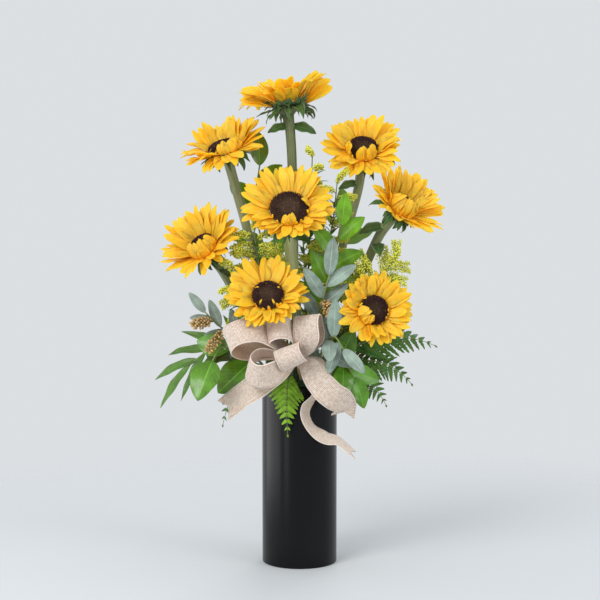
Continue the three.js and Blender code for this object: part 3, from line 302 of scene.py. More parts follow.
def colour(name, description, default):
    """A linear colour."""
    return FloatVectorProperty(
        name=name, description=description, default=default, size=3, min=0.0, max=1.0, subtype="COLOR"
    )


class ArrangementVase(bpy.types.PropertyGroup):
    """Sizes and colours of the vase, the foam in it and the bow's pick."""

    height: size("Height", "From the table to the rim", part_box("vase")[1].z)
    radius: size("Radius", "Outside radius of the cylinder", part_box("vase")[1].x)
    wall: size("Wall", "Thickness of the cylinder's wall", 0.0036)
    glaze: colour("Glaze", "Colour of the glaze", (0.0020, 0.0020, 0.0026))
    foam: colour("Foam", "Colour of the soaked foam", (0.035, 0.09, 0.035))
    wood: colour("Wood", "Colour of the pick", (0.42, 0.26, 0.12))


class ArrangementFlowers(bpy.types.PropertyGroup):
    """Sizes and colours of the sunflowers."""

    petal_width: size("Petal width", "Widest part of a petal", 0.0138)
    petal_sheet: size("Petal thickness", "Thickness of a petal", 0.0005)
    florets: IntProperty(name="Florets", description="How many florets fill a disc", default=430, min=50)
    yellow: colour("Petal", "Colour of the petals", (1.0, 0.49, 0.018))
    orange: colour("Petal base", "Colour of the petals near the disc", (0.96, 0.34, 0.006))
    brown: colour("Florets", "Colour of the open florets", (0.036, 0.014, 0.014))
    middle: colour("Buds", "Colour of the closed florets in the middle", (0.085, 0.050, 0.030))
    # The palest stem colour is lightened as painted light: it stands in for the frontal light on the centre
    # stem, which its head shades here.
    stem: colour("Stem", "Colour of the palest stem", (0.74, 0.79, 0.42))
    bract: colour("Bract", "Colour of the bracts", (0.040, 0.105, 0.022))


class ArrangementFoliage(bpy.types.PropertyGroup):
    """Sizes and colours of the leaves, ferns, goldenrod and seeds."""

    leaf_sheet: size("Leaf thickness", "Thickness of a leaf", 0.0006)
    lemon: colour("Lemon leaf", "Colour of the grown lemon leaves", (0.070, 0.215, 0.006))
    young: colour("Young lemon leaf", "Colour of the young lemon leaves", (0.105, 0.275, 0.006))
    ruscus: colour("Ruscus", "Colour of the ruscus", (0.05, 0.145, 0.014))
    eucalyptus: colour("Eucalyptus", "Colour of the eucalyptus", (0.205, 0.270, 0.225))
    fern: colour("Fern", "Colour of the fern", (0.036, 0.130, 0.018))
    young_fern: colour("Young fern", "Colour of the young frond in front", (0.25, 0.50, 0.028))
    twig: colour("Twig", "Colour of the twigs", (0.16, 0.20, 0.06))
    buds: colour("Goldenrod", "Colour of the goldenrod's florets", (0.86, 0.92, 0.085))
    blade: colour("Goldenrod leaf", "Colour of the goldenrod's narrow leaves", (0.06, 0.15, 0.02))
    seeds: colour("Seeds", "Colour of the seed capsules", (0.54, 0.335, 0.125))


class ArrangementBow(bpy.types.PropertyGroup):
    """Sizes and colours of the bow."""

    width: size("Ribbon width", "Width of the ribbon", 0.036)
    thread: size("Thread", "Distance from thread to thread", 0.0019)
    cloth: colour("Cloth", "Colour of the burlap", (0.82, 0.69, 0.61))
    shade: colour("Dark thread", "Colour between the threads", (0.40, 0.285, 0.205))


class ArrangementStage(bpy.types.PropertyGroup):
    """The floor, the light and the camera."""

    floor: colour("Floor", "Colour of the floor", (0.59, 0.61, 0.625))
    sky: colour("Surroundings", "Colour of the surroundings", (0.712, 0.742, 0.766))
    sky_strength: share("Surroundings' strength", "Strength of the surroundings' light", 1.0)
    key: share("Key light", "Power of the key light, in watts", 64.0)
    fill: share("Fill light", "Power of the fill light, in watts", 20.0)
    strip: share("Strip light", "Power of the narrow light that streaks the vase, in watts", 1.5)
    card: share("Card", "Power of the panel that shines on the vase's left side, in watts", 2.6)
    lens: share("Lens", "Focal length of the camera, in millimetres", 97.74)


# Small maths.

def unit(v):
    """Each vector divided by its length."""
    v = np.asarray(v, float)
    return v / np.linalg.norm(v, axis=-1, keepdims=True)


def draw(seed, index, kind=0):
    """A fixed draw from 0 to 1: the fraction of sin(127.1 seed + 311.7 index + 74.7 kind) * 43758.5453."""
    wave = np.sin(seed * 127.1 + index * 311.7 + kind * 74.7) * 43758.5453
    return wave - np.floor(wave)


def spread(seed, index, kind):
    """A fixed draw from -1 to 1."""
    return 2 * draw(seed, index, kind) - 1


def turned(v, axis, angle):
    """v turned about a unit axis: v cos a + (axis x v) sin a + axis (axis . v)(1 - cos a)."""
    v, axis = np.asarray(v, float), np.asarray(axis, float)
    angle = np.asarray(angle, float)[..., None]
    along = np.sum(v * axis, axis=-1, keepdims=True)
    return v * np.cos(angle) + np.cross(axis, v) * np.sin(angle) + axis * along * (1 - np.cos(angle))


def round_angles(sides, shift=0.0):
    """Even angles round a circle, moved on by a share of the step between them."""
    return 2 * np.pi * (np.arange(sides) + shift) / sides


def round_about(degrees):
    """Unit vectors in the x-y plane at these angles."""
    a = np.radians(degrees)
    return np.stack([np.cos(a), np.sin(a), np.zeros_like(a)], axis=-1)


# Curves.

def catmull_rom(points, t):
    """A centripetal Catmull-Rom curve through the points, at shares t of its spans: the cubic of each span
    has the tangents of the non-uniform form, with knots spaced by the fourth root of squared distance."""
    p = np.asarray(points, float)
    p = np.vstack([2 * p[0] - p[1], p, 2 * p[-1] - p[-2]])
    spans = len(p) - 3
    at = np.clip(np.asarray(t, float), 0, 1) * spans
    k = np.minimum(at.astype(int), spans - 1)
    w = (at - k)[..., None]
    p0, p1, p2, p3 = p[k], p[k + 1], p[k + 2], p[k + 3]
    d0, d1, d2 = (
        np.sqrt(np.linalg.norm(b - a, axis=-1, keepdims=True)) for a, b in ((p0, p1), (p1, p2), (p2, p3))
    )
    d1 = np.where(d1 < 1e-4, 1, d1)
    d0, d2 = np.where(d0 < 1e-4, d1, d0), np.where(d2 < 1e-4, d1, d2)
    m1 = d1 * ((p1 - p0) / d0 - (p2 - p0) / (d0 + d1) + (p2 - p1) / d1)
    m2 = d1 * ((p2 - p1) / d1 - (p3 - p1) / (d1 + d2) + (p3 - p2) / d2)
    c2, c3 = -3 * p1 + 3 * p2 - 2 * m1 - m2, 2 * p1 - 2 * p2 + m1 + m2
    return p1 + w * (m1 + w * (c2 + w * c3))


def bezier(points, t):
    """A quadratic Bezier curve."""
    a, b, c = np.asarray(points, float)
    t = np.asarray(t, float)[..., None]
    return a * (1 - t) ** 2 + 2 * b * t * (1 - t) + c * t ** 2


def run_along(points):
    """How far each point lies along the line through them."""
    return np.concatenate([[0], np.cumsum(np.linalg.norm(np.diff(points, axis=0), axis=1))])


def rise(foot, high):
    """A stem's point over its foot: feet fan out from one point far below the foam's top."""
    fan = 1 + high / FAN_DEPTH
    return np.array([foot[0] * fan, foot[1] * fan, FOAM_TOP + high], float)


def stations(foot, depth, line, steps):
    """A stem's stations: its foot, where it leaves the foam, then even steps along a smooth curve."""
    low, start = rise(foot, -30), rise(foot, STEP_OVER)
    points = [low, start, *line]
    ts = np.linspace(0, 1, 201)
    lengths = run_along(catmull_rom(points, ts))
    begin = np.linalg.norm(start - low) / lengths[-1]
    shares = np.minimum(1, begin + (1 - begin) * np.arange(1, steps) / (steps - 1))
    above = catmull_rom(points, np.interp(shares * lengths[-1], lengths, ts))
    return np.vstack([rise(foot, -depth), start, above])


def on_path(points, t):
    """The point at share t of a run of stations."""
    at = np.clip(t, 0, 1) * (len(points) - 1)
    k = min(int(at), len(points) - 2)
    return points[k] + (points[k + 1] - points[k]) * (at - k)


def path_way(points, t):
    """The direction of the run of stations at share t."""
    return unit(on_path(points, min(1, t + SMALL_STEP)) - on_path(points, max(0, t - SMALL_STEP)))


def smooth_stem(path, steps):
    """A finer line through a stem's stations, straight until it leaves the foam."""
    return np.vstack([path[0], catmull_rom(path[1:], np.linspace(0, 1, steps))])


# Meshes.

class Body:
    """The mesh of one piece in the making, gathered as whole arrays.

    Every part of it is a closed tube: a first point, rows of `sides` points and a last point. A petal, a
    leaf and a ribbon are flat tubes, a vase is a short wide one.
    """

    def __init__(self):
        self.points, self.uv, self.tint, self.under = [], [], [], []
        self.quads, self.tris, self.quad_slots, self.tri_slots = [], [], [], []
        self.count = 0

    def tubes(self, rings, first, last, uv=None, tint=0.5, under=0.0, slot=0):
        """Adds n tubes. rings is (n, rows, sides, 3), first and last are (n, 3), uv is (n, rows, sides, 2),
        tint is (n,) and under is (sides,) or (n, rows, sides). A tube that is inside out is turned round."""
        rings = np.asarray(rings, float)
        n, rows, sides, _ = rings.shape
        first, last = np.broadcast_to(first, (n, 3)), np.broadcast_to(last, (n, 3))
        if uv is None:
            u = np.broadcast_to(np.arange(sides) / sides, (n, rows, sides))
            v = np.broadcast_to((np.arange(rows)[:, None] + 0.5) / rows, (n, rows, sides))
            uv = np.stack([u, v], axis=-1)
        uv = np.broadcast_to(uv, (n, rows, sides, 2))
        under = np.broadcast_to(under, (n, rows, sides))
        hands = tube_volume(rings, first, last) < 0
        flip = hands[:, None, None, None]
        rings = np.where(flip, rings[:, :, ::-1], rings)
        uv = np.where(flip, uv[:, :, ::-1], uv)
        under = np.where(hands[:, None, None], under[:, :, ::-1], under)
        size = rows * sides + 2
        points = np.concatenate([first[:, None], rings.reshape(n, -1, 3), last[:, None]], axis=1)
        ends = uv[:, [0, -1]].mean(axis=2)
        ends[..., 1] = [0, 1]
        uvs = np.concatenate([ends[:, :1], uv.reshape(n, -1, 2), ends[:, 1:]], axis=1)
        below = under.reshape(n, -1)
        unders = np.concatenate([below[:, :1], below, below[:, -1:]], axis=1)
        k = np.arange(sides)
        nxt = (k + 1) % sides
        row = 1 + np.arange(rows - 1)[:, None] * sides
        quads = np.stack([row + k, row + nxt, row + sides + nxt, row + sides + k], axis=-1).reshape(-1, 4)
        end = 1 + (rows - 1) * sides
        tris = np.vstack([
            np.stack([np.zeros(sides, int), 1 + nxt, 1 + k], axis=-1),
            np.stack([np.full(sides, size - 1), end + k, end + nxt], axis=-1),
        ])
        starts = self.count + np.arange(n)[:, None, None] * size
        self.points.append(points.reshape(-1, 3))
        self.uv.append(uvs.reshape(-1, 2))
        self.tint.append(np.repeat(np.broadcast_to(tint, (n,)), size))
        self.under.append(unders.reshape(-1))
        self.quads.append((quads + starts).reshape(-1, 4))
        self.tris.append((tris + starts).reshape(-1, 3))
        self.quad_slots.append(np.full(n * len(quads), slot))
        self.tri_slots.append(np.full(n * len(tris), slot))
        self.count += n * size

    def build(self, name, finishes):
        """Makes the object, in metres, with its finishes in its material slots."""
        points = np.concatenate(self.points) * MM
        quads, tris = np.concatenate(self.quads), np.concatenate(self.tris)
        corners = np.concatenate([quads.ravel(), tris.ravel()]).astype(np.int32)
        starts = np.concatenate([np.arange(len(quads)) * 4, 4 * len(quads) + np.arange(len(tris)) * 3])
        mesh = bpy.data.meshes.new(name)
        mesh.vertices.add(len(points))
        mesh.vertices.foreach_set("co", points.ravel())
        mesh.loops.add(len(corners))
        mesh.loops.foreach_set("vertex_index", corners)
        mesh.polygons.add(len(starts))
        mesh.polygons.foreach_set("loop_start", starts.astype(np.int32))
        mesh.polygons.foreach_set(
            "material_index", np.concatenate(self.quad_slots + self.tri_slots).astype(np.int32)
        )
        mesh.polygons.foreach_set("use_smooth", np.ones(len(starts), bool))
        layer = mesh.uv_layers.new(name="UVMap")
        layer.data.foreach_set("uv", np.concatenate(self.uv)[corners].ravel())
        for attribute, values in (("tint", self.tint), ("under", self.under)):
            held = mesh.attributes.new(attribute, "FLOAT", "POINT")
            held.data.foreach_set("value", np.concatenate(values))
        mesh.update(calc_edges=True)
        mesh.validate()
        for finish in finishes:
            mesh.materials.append(finish)
        piece = bpy.data.objects.new(name, mesh)
        bpy.context.scene.collection.objects.link(piece)
        return piece


def tube_volume(rings, first, last):
    """The signed volume of each tube: a sixth of the sum of a . (b x c) over its triangles."""
    origin = first[:, None, None]
    ring = rings - origin
    nxt = np.roll(ring, -1, axis=2)
    a, b, c, d = ring[:, :-1], nxt[:, :-1], nxt[:, 1:], ring[:, 1:]
    walls = np.sum(a * np.cross(b, c), axis=-1) + np.sum(a * np.cross(c, d), axis=-1)
    tip = np.sum((last - first)[:, None] * np.cross(ring[:, -1], nxt[:, -1]), axis=-1)
    return (walls.sum(axis=(1, 2)) + tip.sum(axis=1)) / 6


def add_blades(body, root, along, up, length, width, bend, outline, rows=12, sides=12, fold=0.15,
               thick=0.5, curl=0.0, twist=0.0, sway=0.0, ruffle=0.0, ribs=0.0, waves=3.0, tint=0.5, slot=0):
    """Adds n thin blades. Along a blade at share t the heading turns by bend t + curl t^3, and the centre
    line is the sum of the headings, moved aside by sway t^2 of the length. Across it, s = cos(angle) runs
    from edge to edge. The height over the middle is fold |s|^1.7 of the half width, plus ruffle
    sin(2 pi (waves t + tint) + 2 s) s^2 sin(pi t) and ribs cos(3 pi s), and the two faces lie half the
    thickness times |sin(angle)| apart from it."""
    root, along, up = (np.atleast_2d(np.asarray(a, float)) for a in (root, along, up))
    n = len(root)
    length, width, bend, fold, curl, twist, sway, ruffle, ribs, tint = (
        np.broadcast_to(np.asarray(a, float), (n,)) for a in
        (length, width, bend, fold, curl, twist, sway, ruffle, ribs, tint)
    )
    forward = unit(along)
    side = unit(np.cross(forward, np.broadcast_to(up, (n, 3))))
    lift = np.cross(side, forward)
    t = np.linspace(0, 1, rows + 2)
    heading = bend[:, None] * t + curl[:, None] * t ** 3
    step = length[:, None] / (rows + 1)
    ahead = np.cos(heading)
    down = np.sin(heading)
    start = np.zeros((n, 1))
    run, drop = (
        np.concatenate([start, np.cumsum((rate[:, 1:] + rate[:, :-1]) / 2 * step, axis=1)], axis=1)
        for rate in (ahead, down)
    )
    centre = root[:, None] + forward[:, None] * run[..., None] - lift[:, None] * drop[..., None]
    centre = centre + side[:, None] * ((sway * length)[:, None] * t ** 2)[..., None]
    normal = lift[:, None] * ahead[..., None] + forward[:, None] * down[..., None]
    roll = (twist[:, None] * t)[..., None]
    across = side[:, None] * np.cos(roll) + normal * np.sin(roll)
    normal = normal * np.cos(roll) - side[:, None] * np.sin(roll)
    angle = round_angles(sides)
    s, face = np.cos(angle), np.sin(angle)
    inner = t[1:-1]
    half = (width[:, None] / 2 * outline(inner))[..., None]
    phase = 2 * np.pi * (waves * inner[None] + tint[:, None])[..., None]
    wave = np.sin(phase + 2 * s) * np.sin(np.pi * inner)[:, None]
    height = fold[:, None, None] * half * np.abs(s) ** 1.7
    height = height + ruffle[:, None, None] * wave * s ** 2
    height = height + ribs[:, None, None] * np.cos(3 * np.pi * s) * np.sin(np.pi * inner)[:, None]
    height = height + thick / 2 * face
    rings = (
        centre[:, 1:-1, None] + across[:, 1:-1, None] * (half * s)[..., None]
        + normal[:, 1:-1, None] * height[..., None]
    )
    u = np.broadcast_to((s + 1) / 2, (n, rows, sides))
    v = np.broadcast_to(inner[:, None], (n, rows, sides))
    body.tubes(rings, centre[:, 0], centre[:, -1], np.stack([u, v], axis=-1), tint, face < -0.01, slot)


def add_placed(body, placed, outline, own=(), **rest):
    """Adds the blades of a dictionary, with the shaping that it holds for each of them under the `own`
    names."""
    places = (placed[key] for key in ("root", "along", "up", "length", "width", "bend"))
    add_blades(body, *places, outline, **{key: placed[key] for key in own}, **rest)


def add_stalk(body, points, radius, sides=10, ribs=0.0, lobes=7, slot=0, tint=0.5):
    """Adds a round stalk through the points. radius is one number or one for each point, and the section is
    radius (1 + ribs cos(lobes angle))."""
    points = np.asarray(points, float)
    way = unit(np.gradient(points, axis=0))
    axis = np.eye(3)[np.argmin(np.abs(way).max(axis=0))]
    side = unit(np.cross(way, axis))
    other = np.cross(side, way)
    angle = round_angles(sides)
    size = np.broadcast_to(radius, (len(points),))[:, None] * (1 + ribs * np.cos(lobes * angle))
    ring = points[:, None] + side[:, None] * (size * np.cos(angle))[..., None]
    ring = ring + other[:, None] * (size * np.sin(angle))[..., None]
    run = run_along(points) / 20
    uv = np.stack(np.broadcast_arrays(angle / (2 * np.pi), run[:, None]), axis=-1)
    body.tubes(ring[None], points[:1], points[-1:], uv[None], tint, 0.0, slot)


def add_buds(body, root, along, length, radius, sides=5, shape=((0.3, 0.85), (0.7, 1.0)), tint=0.5, slot=0):
    """Adds n small buds: each a spindle from its root along `along`, with rings of radius share at shares of
    its length."""
    root, along = np.asarray(root, float), unit(along)
    n = len(root)
    length, radius = np.broadcast_to(length, (n,)), np.broadcast_to(radius, (n,))
    helper = np.where(np.abs(along[:, 2:]) > 0.8, np.array([1.0, 0, 0]), UP)
    side = unit(np.cross(along, helper))
    other = np.cross(side, along)
    angle = round_angles(sides)
    ring = side[:, None] * np.cos(angle)[:, None] + other[:, None] * np.sin(angle)[:, None]
    rings = np.stack([
        root[:, None] + along[:, None] * (length * at)[:, None, None] + ring * (radius * wide)[:, None, None]
        for at, wide in shape
    ], axis=1)
    body.tubes(rings, root, root + along * length[:, None], None, tint, 0.0, slot)


def add_turned(body, profile, sides, basis=np.eye(3), middle=(0, 0, 0), wobble=None, tint=0.5):
    """Adds a turned solid: profile is (radius, height) from the axis and back to it, and basis and middle
    place it."""
    profile = np.asarray(profile, float)
    angle = round_angles(sides)
    inner = profile[1:-1]
    wide = inner[:, :1] * np.ones(sides)
    high = inner[:, 1:] * np.ones(sides)
    if wobble is not None:
        high = high + wobble(wide * np.cos(angle), wide * np.sin(angle), high)
    local = np.stack([wide * np.cos(angle), wide * np.sin(angle), high], axis=-1)
    ends = np.stack([np.zeros(2), np.zeros(2), profile[[0, -1], 1]], axis=-1)
    place = lambda p: p @ basis + np.asarray(middle, float)
    run = run_along(inner)
    uv = np.stack(np.broadcast_arrays(angle / (2 * np.pi), run[:, None] / max(run[-1], 1)), axis=-1)
    body.tubes(place(local)[None], place(ends[:1]), place(ends[1:]), uv[None], tint)


# Finding how each solid petal, leaf or plume was placed.

corners_of = {}


def node_corners(node):
    """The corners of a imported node, in millimetres."""
    if node not in corners_of:
        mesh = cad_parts[node].data
        places = np.zeros(len(mesh.vertices) * 3, np.float32)
        mesh.vertices.foreach_get("co", places)
        corners_of[node] = np.unique(np.round(places.reshape(-1, 3).astype(float) / MM, 2), axis=0)
    return corners_of[node]


def chosen(node, ways, make, marks):
    """What make(way) gives for the way whose marks fall on most of the node's corners, or None where no way
    does, because that petal or leaf was left out of the solid."""
    best, most = None, 1
    for way in ways:
        made = make(way)
        away = np.linalg.norm(node_corners(node)[:, None] - marks(made)[None], axis=-1).min(axis=0)
        hits = np.count_nonzero(away < SAME_POINT)
        if hits > most:
            best, most = made, hits
    return best


def blade_marks(made):
    """The corners of a solid blade: its lens section at each share of its outline, and its tip."""
    forward = unit(made["along"])
    side = unit(np.cross(forward, made["up"]))
    lift = np.cross(side, forward)
    bend = made["bend"] if abs(made["bend"]) > 1e-3 else 1e-3
    t = np.array([at for at, _ in made["corners"]] + [1.0])[:, None]
    half = np.array([wide for _, wide in made["corners"]] + [0.0])[:, None] * made["width"] / 2
    length = made["length"]
    centre = made["root"] + forward * length * np.sin(bend * t) / bend
    centre = centre - lift * length * (1 - np.cos(bend * t)) / bend
    normal = lift * np.cos(bend * t) + forward * np.sin(bend * t)
    high = normal * half * made["fold"]
    return np.vstack([
        centre + side * half + high, centre - side * half + high,
        centre[:-1] + normal[:-1] * SOLID_SHEET / 2, centre[:-1] - normal[:-1] * SOLID_SHEET / 2,
    ])


def gathered(pieces):
    """A list of blades as one dictionary of arrays."""
    return {key: np.array([piece[key] for piece in pieces]) for key in pieces[0]}


# Finishes.

class Value:
    """A node's output that Python arithmetic works on: each step adds a Math node."""

    def __init__(self, finish, socket):
        self.finish, self.socket = finish, socket

    def math(self, operation, *others):
        inputs = dict(enumerate((self, *others)))
        return self.finish.node("ShaderNodeMath", {"operation": operation}, inputs)

    def __add__(self, other):
        return self.math("ADD", other)

    def __mul__(self, other):
        return self.math("MULTIPLY", other)

    def __sub__(self, other):
        return self.math("SUBTRACT", other)

    def __rsub__(self, other):
        return self.finish.node("ShaderNodeMath", {"operation": "SUBTRACT"}, {0: other, 1: self})

    __radd__ = __add__
    __rmul__ = __mul__

    def ramp(self, low, high):
        """0 at low and 1 at high, smoothly in between."""
        return self.finish.node(
            "ShaderNodeMapRange", {"interpolation_type": "SMOOTHSTEP"},
            {"Value": self, "From Min": low, "From Max": high},
        )


class Finish:
    """A material in the making, around one Principled shader."""

    def __init__(self, name):
        self.material = bpy.data.materials.new(name)
        self.material.use_nodes = True
        self.tree = self.material.node_tree
        self.shader = self.tree.nodes["Principled BSDF"]

    def node(self, kind, settings=None, inputs=None, output=0):
        """Adds a node of a kind, with its settings first and then its sockets' values or links."""
        node = self.tree.nodes.new(kind)
        for key, value in (settings or {}).items():
            setattr(node, key, value)
        for key, value in (inputs or {}).items():
            self.feed(node.inputs[key], value)
        return Value(self, node.outputs[output])

    def feed(self, socket, value):
        if isinstance(value, Value):
            self.tree.links.new(value.socket, socket)
        elif hasattr(value, "__len__") and len(value) == 3 and socket.type == "RGBA":
            socket.default_value = (*value, 1.0)
        else:
            socket.default_value = value

    def mix(self, factor, a, b):
        """A colour between a and b."""
        return self.node("ShaderNodeMix", {"data_type": "RGBA"}, {0: factor, 6: a, 7: b}, output=2)

    def at(self):
        return self.node("ShaderNodeTexCoord", output="Object")

    def across(self):
        """The piece's own u and v."""
        uv = self.node("ShaderNodeUVMap", {"uv_map": "UVMap"})
        parts = self.tree.nodes.new("ShaderNodeSeparateXYZ")
        self.tree.links.new(uv.socket, parts.inputs[0])
        return Value(self, parts.outputs[0]), Value(self, parts.outputs[1])

    def stretched(self, u, v):
        """A point for a texture from two numbers."""
        return self.node("ShaderNodeCombineXYZ", None, {0: u, 1: v})

    def attribute(self, name):
        return self.node("ShaderNodeAttribute", {"attribute_name": name}, output="Fac")

    def noise(self, where, scale, detail=3.0, rough=0.55):
        return self.node(
            "ShaderNodeTexNoise", None,
            {"Vector": where, "Scale": scale, "Detail": detail, "Roughness": rough},
        )

    def bump(self, height, distance, strength=1.0):
        return self.node(
            "ShaderNodeBump", None, {"Height": height, "Distance": distance, "Strength": strength}
        )

    def done(self, **sockets):
        """Sets the shader's sockets, named with _ for a space, and returns the material."""
        for key, value in sockets.items():
            self.feed(self.shader.inputs[key.replace("_", " ")], value)
        return self.material


def toned(colour_of, times, plus=0.0):
    """A lighter or darker tone of a colour."""
    return tuple(min(1.0, times * c + plus) for c in colour_of)


finishes = {}


def finish(make):
    """Makes a finish once, and gives the same material after that."""
    def known(*inputs):
        key = (make.__name__, *(i if isinstance(i, (str, float)) else "" for i in inputs))
        if key not in finishes:
            finishes[key] = make(*inputs)
        return finishes[key]
    return known


@finish
def glaze(settings):
    """Black glaze, a little cloudy, with fine dust that dulls it."""
    f = Finish("black_glaze")
    where = f.at()
    cloud = f.noise(where, 9.0, 4.0)
    dust = f.noise(where, 900.0, 2.0).ramp(0.62, 0.75)
    dark = tuple(settings.glaze)
    pale = toned(dark, 2.2)
    return f.done(
        Base_Color=f.mix(cloud.ramp(0.35, 0.7) * 0.5 + dust * 0.15, dark, pale),
        Roughness=cloud * 0.10 + 0.20 + dust * 0.1,
        Normal=f.bump(f.noise(where, 38.0, 2.0), 0.0004, 0.2),
        Specular_IOR_Level=0.2,
    )


@finish
def soaked_foam(settings):
    """Dark green foam with open cells, whose pits are painted darker as painted shade."""
    f = Finish("soaked_foam")
    where = f.at()
    cells = f.node("ShaderNodeTexVoronoi", None, {"Vector": where, "Scale": 620.0}, output="Distance")
    cloud = f.noise(where, 40.0)
    base = tuple(settings.foam)
    pale = f.mix(cloud, base, toned(base, 1.5))
    return f.done(
        # Painted shade: the cells' pits, where the bump sinks, are darker.
        Base_Color=f.mix(cells.ramp(0.0, 0.6), toned(base, 0.35), pale),
        Roughness=0.92,
        Normal=f.bump(cells, 0.0012, 0.9),
    )


@finish
def pick_wood(settings):
    """Pale wood with grain along the pick."""
    f = Finish("pick_wood")
    along = f.node("ShaderNodeVectorMath", {"operation": "MULTIPLY"}, {0: f.at(), 1: (900.0, 900.0, 60.0)})
    grain = f.noise(along, 1.0)
    base = tuple(settings.wood)
    return f.done(
        Base_Color=f.mix(grain.ramp(0.35, 0.65), toned(base, 0.6), base),
        Roughness=0.75, Normal=f.bump(grain, 0.0002, 0.5),
    )


@finish
def petal_skin(settings):
    """Golden petals: orange at the base, fine lengthwise ribs, paler blotches and tips."""
    f = Finish("petal_skin")
    u, v = f.across()
    tint, under = f.attribute("tint"), f.attribute("under")
    lines = f.noise(f.stretched(u * 11.0 + tint * 40.0, v * 0.9), 1.0, 2.0)
    blotch = f.noise(f.stretched(u * 1.6 + tint * 9.0, v * 2.2), 1.0, 2.0)
    yellow, orange = tuple(settings.yellow), tuple(settings.orange)
    pale = (yellow[0], min(1.0, 1.22 * yellow[1]), 3.2 * yellow[2])
    base = f.mix(v.ramp(0.0, 0.36) * 0.8 + tint * 0.2, orange, yellow)
    base = f.mix(blotch.ramp(0.4, 0.75) * 0.55, base, pale)
    base = f.mix(lines.ramp(0.5, 0.72) * 0.2, base, orange)
    base = f.mix(under * 0.06, base, orange)
    return f.done(
        Base_Color=base, Roughness=lines * 0.15 + 0.46,
        Normal=f.bump(lines, 0.0005, 0.35), Subsurface_Weight=0.6, Subsurface_Radius=(0.01, 0.007, 0.001),
        Subsurface_Scale=0.4, Specular_IOR_Level=0.3,
    )


@finish
def floret_skin(settings):
    """Dark florets: purple brown at the rim, greener buds in the middle, pale pollen on a few."""
    f = Finish("floret_skin")
    where = f.at()
    tint = f.attribute("tint")
    speck = f.noise(where, 420.0, 2.0)
    brown, middle = tuple(settings.brown), tuple(settings.middle)
    base = f.mix(tint.ramp(0.36, 0.6), middle, brown)
    base = f.mix(speck.ramp(0.5, 0.7) * 0.6, base, toned(brown, 2.6))
    base = f.mix(speck.ramp(0.64, 0.72) * (1.1 - tint), base, (0.46, 0.30, 0.09))
    return f.done(Base_Color=base, Roughness=0.85, Normal=f.bump(speck, 0.0008, 0.6), Specular_IOR_Level=0.2)


@finish
def stem_skin(settings):
    """Olive stems with long pale streaks and fine hairs."""
    f = Finish("stem_skin")
    u, v = f.across()
    where = f.at()
    streak = f.noise(f.stretched(u * 16.0, v * 0.8), 1.0, 3.0)
    hair = f.noise(where, 1400.0, 1.0)
    pale, dark = tuple(settings.stem), (0.10, 0.125, 0.040)
    tint = f.attribute("tint")
    # tint is the stem's pale share: the palest green, with weaker dark streaks, is painted light that stands
    # in for frontal light on a stem its head shades.
    green = f.mix(tint, dark, pale)
    shaded = f.mix(0.5, green, toned(dark, 0.35))
    base = f.mix(streak.ramp(0.3, 0.7) * (0.75 - tint * 0.4), green, shaded)
    base = f.mix(hair.ramp(0.6, 0.75) * 0.35, base, (0.42, 0.46, 0.28))
    return f.done(Base_Color=base, Roughness=0.62, Normal=f.bump(streak * 0.7 + hair * 0.3, 0.0007, 0.7))


@finish
def leaf_skin(name, colour_of, gloss, vein, pale_under, coat=0.0, rim=0.0):
    """A leaf: a pale midrib, side veins that leave it at a slant, blotches, a paler underside and rim, and a
    coat of wax."""
    f = Finish(name)
    u, v = f.across()
    tint, under = f.attribute("tint"), f.attribute("under")
    off = (u - 0.5).math("ABSOLUTE")
    rib = 1 - off.ramp(0.012, 0.035)
    slant = (v * 9.0 - off * 6.5).math("FRACT")
    veins = (1 - (slant - 0.5).math("ABSOLUTE").ramp(0.02, 0.07)) * vein
    where = f.at()
    blotch = f.noise(where, 70.0, 3.0)
    green = tuple(colour_of)
    dark, light = toned(green, 0.62), toned(green, 1.5, 0.003)
    base = f.mix(blotch.ramp(0.3, 0.7) * 0.6 + tint * 0.4, dark, light)
    line = toned(green, 1.9, 0.025)
    base = f.mix((rib * 0.75).math("MAXIMUM", veins * 0.4), base, line)
    base = f.mix(off.ramp(0.36, 0.49) * rim, base, toned(green, 1.6, 0.16))
    base = f.mix(under * pale_under, base, toned(light, 0.8, 0.07))
    height = rib * 0.6 + veins * 0.5 + f.noise(where, 300.0, 2.0) * 0.15
    return f.done(
        Base_Color=base, Roughness=blotch * 0.12 + gloss + under * 0.25,
        Normal=f.bump(1 - height, 0.0006, 0.6), Subsurface_Weight=0.05, Subsurface_Scale=0.02,
        Specular_IOR_Level=0.28, Coat_Weight=(1 - under) * coat, Coat_Roughness=0.16,
    )


@finish
def bud_skin(name, colour_of):
    """Small buds or capsules: each its own shade, lighter at the tip."""
    f = Finish(name)
    _, v = f.across()
    tint = f.attribute("tint")
    base = tuple(colour_of)
    speck = f.noise(f.at(), 500.0, 2.0)
    shade = f.mix(tint, toned(base, 0.55), toned(base, 1.35))
    shade = f.mix(v.ramp(0.3, 1.0) * 0.4, shade, toned(base, 1.6, 0.02))
    return f.done(Base_Color=f.mix(speck * 0.3, shade, toned(base, 0.5)), Roughness=0.7,
                  Normal=f.bump(speck, 0.0005, 0.5))


